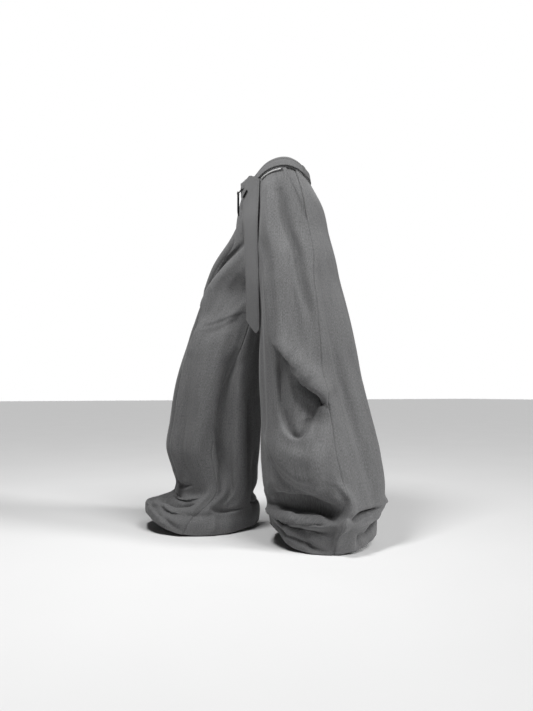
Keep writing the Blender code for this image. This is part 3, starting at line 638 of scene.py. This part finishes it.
def layGrid(points, cloth, outward=None):  # a bmesh grid laid on the points, with the cloth's own map
    rows, columns = points.shape[:2]
    bm = bmesh.new()
    bmesh.ops.create_grid(bm, x_segments=columns - 1, y_segments=rows - 1, size=0.5)
    uv = bm.loops.layers.uv.new("cloth")
    places = {}
    for vert in bm.verts:
        place = (round((0.5 - vert.co.y) * (rows - 1)), round((vert.co.x + 0.5) * (columns - 1)))
        places[vert.index] = place
        vert.co = points[place]
    for face in bm.faces:
        for loop in face.loops:
            loop[uv].uv = cloth[places[loop.vert.index]]
    bm.normal_update()
    if outward is not None:
        facing = sum(vert.normal.dot(Vector(outward[places[vert.index]])) for vert in bm.verts)
        if facing < 0:
            bmesh.ops.reverse_faces(bm, faces=bm.faces[:])
    return bm


def meshOf(name, bm, sharp=50.0):
    mesh = bpy.data.meshes.new(name)
    bm.to_mesh(mesh)
    bm.free()
    mesh.shade_smooth()
    mesh.set_sharp_from_angle(angle=math.radians(sharp))
    return mesh


def addSheet(name, points, cloth, outward, thickness, material, nodes):  # a thin shell under its outer face
    flat = bpy.data.objects.new(name + "Flat", meshOf(name + "Flat", layGrid(points, cloth, outward)))
    bpy.context.scene.collection.objects.link(flat)
    wall = flat.modifiers.new("wall", "SOLIDIFY")
    wall.thickness = thickness
    wall.offset = -1.0
    graph = bpy.context.evaluated_depsgraph_get()
    mesh = bpy.data.meshes.new_from_object(flat.evaluated_get(graph))
    bpy.data.objects.remove(flat)
    mesh.name = name
    mesh.shade_smooth()
    mesh.set_sharp_from_angle(angle=math.radians(60))
    return addPiece(name, mesh, material, nodes)


def addStrip(name, place, along, section, material, nodes):
    # a folded strip: a closed section carried along, where place gives points from (along, across, out)
    across = np.array([a for a, _ in section])
    out = np.array([o for _, o in section])
    points = place(np.asarray(along)[:, None], across[None, :], out[None, :])
    length = np.asarray(along)[:, None] * np.ones(len(section))
    reach = np.cumsum(np.hypot(np.diff(across, prepend=across[0]), np.diff(out, prepend=out[0])))
    cloth = np.stack([reach[None, :] * np.ones((len(along), 1)), -length], axis=-1)
    bm = layGrid(points, cloth)
    bmesh.ops.remove_doubles(bm, verts=bm.verts[:], dist=1e-6)
    bmesh.ops.holes_fill(bm, edges=[edge for edge in bm.edges if edge.is_boundary], sides=0)
    bmesh.ops.recalc_face_normals(bm, faces=bm.faces[:])
    return addPiece(name, meshOf(name, bm), material, nodes)


def roundedSection(low, high, inner, outer, pressed=0.0):
    # a strip's section with round edges, pressed in where its edge stitching runs
    middle = (inner + outer) / 2
    half = (outer - inner) / 2
    section = []
    for i in range(9):
        a = math.radians(-90 + 22.5 * i)
        section.append((high - half + half * math.cos(a), middle + half * math.sin(a)))
    for share in (0.88, 0.7, 0.5, 0.3, 0.12):
        section.append((low + (high - low) * share, outer - pressed * (share in (0.88, 0.12))))
    for i in range(9):
        a = math.radians(90 + 22.5 * i)
        section.append((low + half + half * math.cos(a), middle + half * math.sin(a)))
    for share in (0.3, 0.7):
        section.append((low + (high - low) * share, inner))
    return section + section[:1]


def addRod(name, points, radius, closed, material, nodes):
    curve = bpy.data.curves.new(name, "CURVE")
    curve.dimensions = "3D"
    curve.bevel_depth = radius
    curve.bevel_resolution = 4
    curve.use_fill_caps = True
    spline = curve.splines.new("POLY")
    spline.points.add(len(points) - 1)
    for knot, (x, y, z) in zip(spline.points, points):
        knot.co = (x, y, z, 1.0)
    spline.use_cyclic_u = closed
    bar = bpy.data.objects.new(name + "Line", curve)
    bpy.context.scene.collection.objects.link(bar)
    graph = bpy.context.evaluated_depsgraph_get()
    mesh = bpy.data.meshes.new_from_object(bar.evaluated_get(graph))
    bpy.data.objects.remove(bar)
    bm = bmesh.new()
    bm.from_mesh(mesh)
    bmesh.ops.remove_doubles(bm, verts=bm.verts[:], dist=1e-6)
    bmesh.ops.recalc_face_normals(bm, faces=bm.faces[:])
    return addPiece(name, meshOf(name, bm), material, nodes)


stitches = {
    "pocket": {"pitch": 0.0034, "length": 0.0026, "radius": 0.0005},
    "fly": {"pitch": 0.0032, "length": 0.0023, "radius": 0.00035},
    "band": {"pitch": 0.0056, "length": 0.003472, "radius": 0.0004},
    "belt": {"pitch": 0.0042, "length": 0.002604, "radius": 0.0004},
    "tail": {"pitch": 0.0042, "length": 0.0028, "radius": 0.0004},
    "tack": {"pitch": 0.0012, "length": 0.0014, "radius": 0.0004},
}


def addStitches(name, points, outward, thread):  # one joined mesh of small sewn stitches
    bm = bmesh.new()
    steps = np.linalg.norm(np.diff(points, axis=0), axis=1)
    reach = np.concatenate([[0.0], np.cumsum(steps)])
    places = np.arange(thread["pitch"] / 2, reach[-1], thread["pitch"])
    for place in places:
        middle = Vector([np.interp(place, reach, points[:, i]) for i in range(3)])
        ahead = Vector([np.interp(place + 0.001, reach, points[:, i]) for i in range(3)])
        behind = Vector([np.interp(place - 0.001, reach, points[:, i]) for i in range(3)])
        up = Vector([np.interp(place, reach, outward[:, i]) for i in range(3)]).normalized()
        along = (ahead - behind).normalized()
        side = up.cross(along).normalized()
        turn = Matrix((along, side, up)).transposed().to_4x4()
        radius = thread["radius"]
        size = Matrix.Diagonal((thread["length"] / 2, radius, radius * 0.7, 1.0))
        sewn = Matrix.Translation(middle + up * radius * 0.2) @ turn @ size
        bmesh.ops.create_uvsphere(bm, u_segments=6, v_segments=4, radius=1.0, matrix=sewn)
    return addPiece(name, meshOf(name, bm, 80.0), darkThread, ())


panel = {
    "rowStep": 0.0036,
    "columns": 112,
    "edgeColumns": (0.0, 0.35, 0.8, 1.4, 2.2),  # degrees from the seam
    "seamDepth": 0.0018,
    "seamWidth": 0.6,
    "seamFade": 0.012,
    "pocketLift": 0.0036,
    "pocketLiftTurn": 2.4,
    "topDip": 0.0010,
    "topDipDrop": 0.003,
    "hemInside": (0.0005, 0.003, 0.010, 0.020, 0.030),  # rows up the inside of the turned-up hem
    "hemGap": 0.0003,
}


def pocketOpening(drop):  # how far the pocket gapes, from 0 at its ends to 1 in its middle
    return np.sin(math.pi * np.clip(drop / trousers["pocketDrop"], 0, 1))


def panelTurns(start, end):
    edge = np.array(panel["edgeColumns"])
    inner = np.linspace(0.0, 1.0, panel["columns"] - 2 * len(edge) + 3)[1:-1]
    sign = np.sign(end - start)[:, None]
    first = start[:, None] + sign * edge
    last = end[:, None] - sign * edge[::-1]
    middle = first[:, -1:] + (last[:, :1] - first[:, -1:]) * inner
    return np.concatenate([first, middle, last], axis=1)


def addPanel(leg, face):
    hem = trousers["hemDrop"]
    rows = np.linspace(0.0, hem, round(hem / panel["rowStep"]) + 1)
    inside = hem - np.array(panel["hemInside"])
    allRows = np.concatenate([rows, inside])
    start = pocketTurn(leg, allRows) if face == "front" else sideTurn(leg, allRows)
    end = innerTurn(leg, allRows, face)
    turn = panelTurns(start, end)
    drop = allRows[:, None] * np.ones(turn.shape[1])
    points, normal = clothSheet(leg, drop, turn)
    fromStart = np.abs(turn - turn[:, :1])
    fromEnd = np.abs(turn - turn[:, -1:])
    startDip = np.exp(-((fromStart / panel["seamWidth"]) ** 2))
    endDip = np.exp(-((fromEnd / panel["seamWidth"]) ** 2))
    offset = -panel["seamDepth"] * (startDip + endDip) * ease(drop / panel["seamFade"])
    if face == "front":
        lift = panel["pocketLift"] * np.exp(-fromStart / panel["pocketLiftTurn"])
        offset = offset + pocketOpening(drop) * (lift + panel["seamDepth"] * startDip)
    offset = offset - panel["topDip"] * np.exp(-((drop / panel["topDipDrop"]) ** 2))
    thick = trousers["clothThick"]
    offset[len(rows):] -= 2 * thick + panel["hemGap"]
    offset[len(rows)] += thick
    points = points + normal * offset[..., None]
    rise = (drop <= trousers["crotchDrop"]) & (np.arange(turn.shape[1]) == turn.shape[1] - 1)
    points[..., 0] = np.where(rise, legs[leg]["out"] * trousers["seamGap"] / 2, points[..., 0])
    shown = points[: len(rows)]
    steps = np.linalg.norm(np.diff(shown, axis=1, prepend=shown[:, :1]), axis=-1)
    width = np.cumsum(steps, axis=1)
    width = np.concatenate([width, np.repeat(width[-1:], len(inside), axis=0)])
    middle = width[:, width.shape[1] // 2][:, None]
    down = drop.copy()
    down[len(rows):] = 2 * hem - drop[len(rows):]
    cloth = np.stack([width - middle, -down], axis=-1)
    piece = addSheet(f"{face}Panel_{leg}", points, cloth, normal, thick, wool, (f"{face}_{leg}",))
    return piece


for legName in legs:
    for faceName in ("front", "back"):
        addPanel(legName, faceName)
print("panels made")

pocket = {
    "under": 3.0, "past": 6.0, "rows": 34, "columns": 14, "behind": 0.0016,
    "top": -0.004, "cut": (0.064, 0.15), "area": 0.0064,
    "stitchIn": 1.9, "stitchOut": 0.0026, "stitchStart": 0.006, "stitchEnd": 0.004,
}


def addFacing(leg):
    drops = np.linspace(pocket["top"], trousers["pocketDrop"], pocket["rows"])
    seam = sideTurn(leg, drops) - pocket["under"]
    edge = pocketTurn(leg, drops) + pocket["past"]
    share = np.linspace(0.0, 1.0, pocket["columns"])
    turn = seam[:, None] + (edge - seam)[:, None] * share
    drop = drops[:, None] * np.ones(len(share))
    points, normal = clothSheet(leg, drop, turn)
    thick = trousers["clothThick"]
    gape = trousers["pocketGape"] * pocketOpening(drop) * ease(share)
    points = points - normal * (thick + pocket["behind"] + gape)[..., None]
    cloth = np.stack([turn * trousers["metresPerDegree"], -drop], axis=-1)
    node = f"pocket_facing_{leg}"
    piece = addSheet(f"pocketFacing_{leg}", points, cloth, normal, thick, wool, (node,))
    # the row of stitches that runs inside the pocket's edge
    drops = np.linspace(pocket["stitchStart"], trousers["pocketDrop"] - pocket["stitchEnd"], 60)
    turn = pocketTurn(leg, drops) + pocket["stitchIn"]
    points, normal = clothSheet(leg, drops, turn)
    points = points + normal * pocket["stitchOut"]
    addStitches(f"pocketStitches_{leg}", points, normal, stitches["pocket"])


fly = {
    "length": 0.200, "start": 15 / 18, "out": 0.0015, "thick": 0.0012, "cut": (0.045, 0.20), "area": 0.0085,
    "stitchTop": 0.004, "stitchLength": 0.188, "stitchAt": 0.855, "stitchCurve": 0.17, "curveFrom": 0.75,
    "stitchOut": 0.0016,
}


def acrossFront(drops, share):  # turns at a share of the way from the left pocket to the front seam
    start = pocketTurn("left", drops)
    return start + (innerTurn("left", drops, "front") - start) * share


def addFly():
    drops = np.linspace(0.0, fly["length"], 46)[:, None]
    share = np.linspace(fly["start"], 1.0, 14)
    turn = acrossFront(drops, share)
    drop = drops * np.ones(len(share))
    points, normal = clothSheet("left", drop, turn)
    points = points + normal * fly["out"]
    points[:, -1, 0] = trousers["seamGap"] / 2
    cloth = np.stack([turn * trousers["metresPerDegree"], -drop], axis=-1)
    piece = addSheet("flyFlap", points, cloth, normal, fly["thick"], wool, ("fly",))
    line = np.linspace(0.0, 1.0, 60)
    drops = fly["stitchTop"] + fly["stitchLength"] * line
    bend = fly["stitchCurve"] * ease((line - fly["curveFrom"]) / (1 - fly["curveFrom"]))
    points, normal = clothSheet("left", drops, acrossFront(drops, fly["stitchAt"] + bend))
    addStitches("flyStitches", points + normal * fly["stitchOut"], normal, stitches["fly"])


for legName in legs:
    addFacing(legName)
addFly()
print("pockets and fly made")

waist = {
    "steps": 180,
    "face": 0.0006,
    "loopSteps": {"left_front": 16, "left_back": 68.6, "back": 54, "right_back": 41, "right_front": 22},
    "ringSteps": 72,
    "frontSeam": 90.0,
    "bandGap": 0.15,  # degrees from the front seam to each end
    "beltGap": 1.2,
    "stitchGap": 2.0,
    "pressed": 0.0003,
}


def roundWaist(gap, count):  # degrees once round, from one side of the front seam to the other
    return np.linspace(waist["frontSeam"] + gap, waist["frontSeam"] + 360.0 - gap, count)


def addBandStitches(name, angles, up, out, thread):
    points = bandPoint(angles, up, out)
    addStitches(name, points, unit(bandPoint(angles, up, out + 0.001) - points), thread)


def addWaist():
    thick = trousers["doubleThick"]
    gap = trousers["seamGap"]
    face = waist["face"]
    beltIn = face + gap
    beltOut = beltIn + thick
    around = roundWaist(waist["bandGap"], waist["steps"] + 1)
    section = roundedSection(gap / 2, trousers["bandHeight"], face - thick, face)
    band = addStrip("waistBand", bandPoint, around, section, wool, ("waistband",))
    around = roundWaist(waist["beltGap"], waist["steps"] + 1)
    section = roundedSection(trousers["beltLow"], trousers["beltHigh"], beltIn, beltOut, waist["pressed"])
    belt = addStrip("beltStrip", bandPoint, around, section, wool, ("belt",))
    angles = roundWaist(waist["stitchGap"], 700)
    addBandStitches("bandStitches", angles, 0.0022, face, stitches["band"])
    addBandStitches("beltStitchesLow", angles, 0.0072, beltOut - 0.0002, stitches["belt"])
    addBandStitches("beltStitchesHigh", angles, 0.0248, beltOut - 0.0002, stitches["belt"])


loop = {
    "path": (  # up over the waist seam, and out
        (0.0004, 0.0018), (0.0016, 0.0018), (0.0028, 0.0030), (0.0042, 0.0046), (0.0160, 0.0051),
        (0.0275, 0.0046), (0.0290, 0.0032), (0.0302, 0.0018), (0.0316, 0.0018),
    ),
    "section": (  # shares of the half width and of half the thickness
        (0.94, -1), (1.0, -0.5), (1.0, 0.5), (0.94, 1), (0.6, 0.85), (0.2, 1), (-0.2, 1),
        (-0.6, 0.85), (-0.94, 1), (-1.0, 0.5), (-1.0, -0.5), (-0.94, -1), (0.0, -1), (0.94, -1),
    ),
    "halfWidth": 2.5,
    "thick": 0.0017,
    "tacks": (("low", 0.0012), ("high", 0.0306)),
    "tackOut": 0.0027,
    "tackTurn": 2.2,
}


def addLoop(name, step):
    middle = step * 360.0 / waist["ringSteps"]
    path = np.array(loop["path"])
    reach = np.linspace(0.0, 1.0, 26)
    keys = np.linspace(0.0, 1.0, len(path))
    ups = np.interp(reach, keys, path[:, 0])
    outs = np.interp(reach, keys, path[:, 1])
    half = loop["halfWidth"]

    def place(along, across, out):
        up = np.interp(along, reach, ups)
        return bandPoint(middle + across * np.ones_like(up), up, np.interp(along, reach, outs) + out)

    section = [(across * half, out * loop["thick"] / 2) for across, out in loop["section"]]
    piece = addStrip(f"beltLoop_{name}", place, reach, section, wool, (f"belt_loop_{name}",))
    angles = np.linspace(middle - loop["tackTurn"], middle + loop["tackTurn"], 12)
    for end, up in loop["tacks"]:
        addBandStitches(f"loopTack_{name}_{end}", angles, up, loop["tackOut"], stitches["tack"])


addWaist()
for loopName, loopStep in waist["loopSteps"].items():
    addLoop(loopName, loopStep)
print("waist made")

tail = {
    # down, x, y, facing, bow, width
    "rows": (
        (0.000, 0.0243, -0.0932, 74, 0.0030, 0.084),
        (0.030, 0.0246, -0.0937, 72, 0.0036, 0.080),
        (0.080, 0.0290, -0.0952, 70, 0.0036, 0.070),
        (0.140, 0.0430, -0.1000, 69, 0.0032, 0.057),
        (0.220, 0.0530, -0.1026, 69, 0.0030, 0.051),
        (0.330, 0.0665, -0.1052, 70, 0.0030, 0.050),
        (0.400, 0.0660, -0.1038, 70, 0.0030, 0.051),
        (0.460, 0.0640, -0.1020, 70, 0.0030, 0.052),
    ),
    "length": 0.460,
    "point": 0.042,
    "pointAt": 0.28,
    "peak": 0.04,
    "corner": 0.037,
    "shoulder": 0.009,
    "halfThick": 0.0014,
    "section": (  # shares of the width and of half the thickness, on the outer side
        (0.488, -0.9), (0.5, -0.3), (0.5, 0.3), (0.488, 0.9), (0.46, 1.0), (0.43, 0.78), (0.38, 1.0),
        (0.25, 1.0), (0.12, 1.0), (0.0, 1.0), (-0.12, 1.0), (-0.25, 1.0), (-0.38, 1.0), (-0.43, 0.78),
        (-0.46, 1.0), (-0.488, 0.9), (-0.5, 0.3), (-0.5, -0.3), (-0.488, -0.9), (-0.3, -1.0), (0.0, -1.0),
        (0.3, -1.0), (0.488, -0.9),
    ),
    "stitches": (("Left", -0.43), ("Right", 0.43)),
    "stitchOut": 0.0026,
    "pucker": 0.0004,
}


def tailFace(down, across, out):
    row = smoothRows(tail["rows"], down)
    facing = np.radians(row[..., 3])
    normal = np.stack([np.cos(facing), -np.sin(facing), np.zeros_like(facing)], axis=-1)
    side = np.stack([np.sin(facing), np.cos(facing), np.zeros_like(facing)], axis=-1)
    s = across * row[..., 5]
    setBack = row[..., 4] * (2 * across) ** 2
    top = trousers["bandHeight"] + 0.001
    line = bandPoint(90.0 - np.degrees((s + row[..., 1]) / trousers["waistHalfX"]), top, 0.0)[..., 2]
    level = bandPoint(80.0, top, 0.0)[2]
    fade = ease(down / 0.25)
    z = line * (1 - fade) + level * fade - down
    x, y, z = np.broadcast_arrays(row[..., 1], row[..., 2], z)
    centre = np.stack([x, y, z], axis=-1)
    return centre + side * s[..., None] + normal * (out - setBack)[..., None]


def tailDown(share, across):
    peak = tail["peak"]
    top = tail["corner"] * np.clip((across - peak) / (0.5 - peak), 0, 1)
    top = top + tail["shoulder"] * np.clip((peak - across) / (0.5 + peak), 0, 1)
    fromPoint = np.abs(across - tail["pointAt"]) / (0.5 + tail["pointAt"])
    bottom = tail["length"] - tail["point"] * fromPoint
    return top + (bottom - top) * share


def addTail():
    def place(along, across, out):
        along, across, out = np.broadcast_arrays(along, across, out)
        fromEdge = (0.5 - np.abs(across)) / 0.10
        pucker = tail["pucker"] * np.sin(along * 210.0) * np.exp(-(fromEdge**2))
        return tailFace(tailDown(along, across), across, out + pucker)

    half = tail["halfThick"]
    section = [(across, (out + 1) * half) for across, out in tail["section"]]
    piece = addStrip("beltTail", place, np.linspace(0, 1, 130), section, wool, ("belt_tail",))
    share = np.linspace(0.02, 0.975, 300)
    for side, at in tail["stitches"]:
        across = np.full(len(share), at)
        out = np.full(len(share), tail["stitchOut"])
        points = tailFace(tailDown(share, at), across, out)
        outward = unit(tailFace(tailDown(share, at), across, out + 0.001) - points)
        addStitches(f"tailStitches{side}", points, outward, stitches["tail"])


buckle = {
    "height": 0.060, "width": 0.044, "corner": 0.008, "rod": 0.0020,
    "centre": (-0.0155, -0.1116, -0.082), "facing": 116.0,
    "barRod": 0.0022, "barStart": (0.041, -0.07), "barEnd": (0.053, -0.30),
    "tabThick": 0.0014, "tabHalfWidth": 0.006, "tabDown": (0.016, 0.024), "tabAcross": -0.345,
    "tabHalfShare": 0.075, "tabRoom": 0.0005,
}


def framePoint(across, up):
    facing = math.radians(buckle["facing"])
    x, y, z = buckle["centre"]
    return (x + across * math.sin(facing), y + across * math.cos(facing), z + up)


def addBuckle():
    outline = []
    corner = buckle["corner"]
    for quarter in range(4):
        across = (buckle["width"] / 2 - corner) * (1, -1, -1, 1)[quarter]
        up = (buckle["height"] / 2 - corner) * (1, 1, -1, -1)[quarter]
        for part in range(9):
            a = math.radians(90 * quarter + 11.25 * part)
            outline.append(framePoint(across + corner * math.cos(a), up + corner * math.sin(a)))
    addRod("buckleFrame", outline, buckle["rod"], True, blackMetal, ("buckle_frame",))
    seat = trousers["doubleThick"] + trousers["seamGap"]
    share = np.linspace(0.0, 1.0, 15)
    down, across = (a + (b - a) * share for a, b in zip(buckle["barStart"], buckle["barEnd"]))
    rod = tailFace(down, across, np.full(len(share), seat + buckle["barRod"]))
    addRod("buckleBar", rod, buckle["barRod"], False, blackMetal, ("buckle_bar",))
    facing = math.radians(buckle["facing"])
    gap = buckle["rod"] + buckle["tabRoom"]
    path = []
    for part in range(21):
        a = math.radians(120 - 13.5 * part)
        path.append((gap * math.cos(a), gap * math.sin(a), math.cos(a), math.sin(a)))

    def place(along, across, out):
        along, across, out = np.broadcast_arrays(along, across, out)
        made = np.zeros(along.shape + (3,))
        for index in np.ndindex(along.shape):
            k, s, o = int(along[index]), float(across[index]), float(out[index])
            if k < 4:
                low, high = buckle["tabDown"]
                down = low + (high - low) * k / 3
                middle = buckle["tabAcross"] - buckle["tabHalfShare"] * s
                made[index] = tailFace(np.array(down), np.array(middle), np.array(seat + o))
            else:
                depth, up, depthWay, upWay = path[k - 4]
                x, y, z = framePoint(s * buckle["tabHalfWidth"], buckle["height"] / 2)
                depth += o * depthWay
                made[index] = (x + depth * math.cos(facing), y - depth * math.sin(facing), z + up + o * upWay)
        return made

    thick = buckle["tabThick"]
    section = [(-1, 0), (-1, thick), (-0.4, thick), (0.4, thick), (1, thick), (1, 0), (0, 0), (-1, 0)]
    piece = addStrip("buckleTab", place, np.arange(25.0), section, wool, ("buckle_tab",))


piping = {
    "drop": 0.0065,
    # turns from and to, how many points, out and radius
    "waistPiping": (60.0, 29.0, 40, 0.0026, 0.0016),
    "pipingEnd": (28.4, 26.4, 5, 0.0027, 0.0020),
}


def addPiping(leg, name, node, material):
    start, end, count, out, radius = piping[name]
    turns = np.linspace(start, end, count)
    drop = np.full(count, piping["drop"])
    points = clothPoint(leg, drop, turns)
    forward = clothPoint(leg, drop, turns + 0.2) - points
    downward = clothPoint(leg, drop + 0.0006, turns) - points
    centre = points + unit(np.cross(forward, downward)) * legs[leg]["out"] * out
    addRod(f"{name}_{leg}", centre, radius, False, material, (f"{node}_{leg}",))


addTail()
addBuckle()
for legName in legs:
    addPiping(legName, "waistPiping", "waist_piping", palePiping)
    addPiping(legName, "pipingEnd", "piping_end", blackMetal)
print("belt end, buckle and piping made")

studio = {
    # the camera's focal length, picture height and rise are in the photo's pixels
    "azimuth": 64.0, "focal": 599.0, "pictureHeight": 711, "rise": 37.5,
    "away": 1.75, "side": -0.0248, "height": 0.396,
    "ambient": 0.07,
    # name: azimuth, elevation, the light's own width in degrees, strength
    "suns": {"right": (134.0, 30.0, 14.0, 1.8), "top": (104.0, 52.0, 26.0, 1.7)},
    # azimuth, elevation, distance from the waist, size, power
    "lamp": (26.0, 54.0, 1.25, 0.36, 27.0),
}


def addFloor():
    bm = bmesh.new()
    low = Matrix.Translation((0, 0, -trousers["waistHeight"] - 0.001))
    bmesh.ops.create_grid(bm, x_segments=8, y_segments=8, size=30.0, matrix=low)
    finish = Finish("paleFloor")
    shade = finish.noise(finish.ownPlace(), 3.0)
    tone = finish.mix(shade, (0.70, 0.70, 0.70, 1), (0.73, 0.73, 0.73, 1))
    finish.surface(Base_Color=tone, Roughness=0.9)
    floor = bpy.data.objects.new("floor", meshOf("floor", bm))
    floor.data.materials.append(finish.material)
    bpy.context.scene.collection.objects.link(floor)


def aimLight(lamp, azimuth, elevation, away):  # hangs a light that far from the waist and aims it there
    made = bpy.data.objects.new(lamp.name, lamp)
    bpy.context.scene.collection.objects.link(made)
    a, e = math.radians(azimuth), math.radians(elevation)
    towards = Vector((math.sin(a) * math.cos(e), -math.cos(a) * math.cos(e), math.sin(e)))
    made.location = towards * away
    made.rotation_euler = (-towards).to_track_quat("-Z", "Y").to_euler()


def addSun(name, azimuth, elevation, width, strength):
    lamp = bpy.data.lights.new(name, "SUN")
    lamp.angle = math.radians(width)
    lamp.energy = strength
    aimLight(lamp, azimuth, elevation, 0.0)


def addLamp(azimuth, elevation, away, size, power):  # a square lamp close enough to leave the hems darker
    lamp = bpy.data.lights.new("front", "AREA")
    lamp.size = size
    lamp.energy = power
    aimLight(lamp, azimuth, elevation, away)


def addStudio():
    world = bpy.data.worlds.new("studio")
    bpy.context.scene.world = world
    world.use_nodes = True
    nodes, links = world.node_tree.nodes, world.node_tree.links
    soft = nodes["Background"]
    soft.inputs["Color"].default_value = (1, 1, 1, 1)
    soft.inputs["Strength"].default_value = studio["ambient"]
    white = nodes.new("ShaderNodeBackground")
    white.inputs["Strength"].default_value = 1.0
    white.inputs["Color"].default_value = (1, 1, 1, 1)
    pick = nodes.new("ShaderNodeMixShader")
    rays = nodes.new("ShaderNodeLightPath")
    links.new(rays.outputs["Is Camera Ray"], pick.inputs["Fac"])
    links.new(soft.outputs["Background"], pick.inputs[1])
    links.new(white.outputs["Background"], pick.inputs[2])
    links.new(pick.outputs["Shader"], nodes["World Output"].inputs["Surface"])
    for name, row in studio["suns"].items():
        addSun(name, *row)
    addLamp(*studio["lamp"])
    camera = bpy.data.cameras.new("camera")
    camera.sensor_fit = "VERTICAL"
    camera.sensor_height = 36.0
    camera.lens = studio["focal"] / studio["pictureHeight"] * camera.sensor_height
    holder = bpy.data.objects.new("camera", camera)
    bpy.context.scene.collection.objects.link(holder)
    bpy.context.scene.camera = holder
    a = math.radians(studio["azimuth"])
    pitch = math.atan(studio["rise"] / studio["focal"])
    right = Vector((math.cos(a), math.sin(a), 0))
    ahead = Vector((-math.sin(a), math.cos(a), 0))
    look = ahead * math.cos(pitch) + Vector((0, 0, math.sin(pitch)))
    up = right.cross(look)
    turn = Matrix((right, up, -look)).transposed().to_4x4()
    level = Vector((0, 0, studio["height"] - trousers["waistHeight"]))
    holder.matrix_world = Matrix.Translation(right * studio["side"] - ahead * studio["away"] + level) @ turn
    bpy.context.scene.view_settings.view_transform = "Standard"


addFloor()
addStudio()
print("studio made")
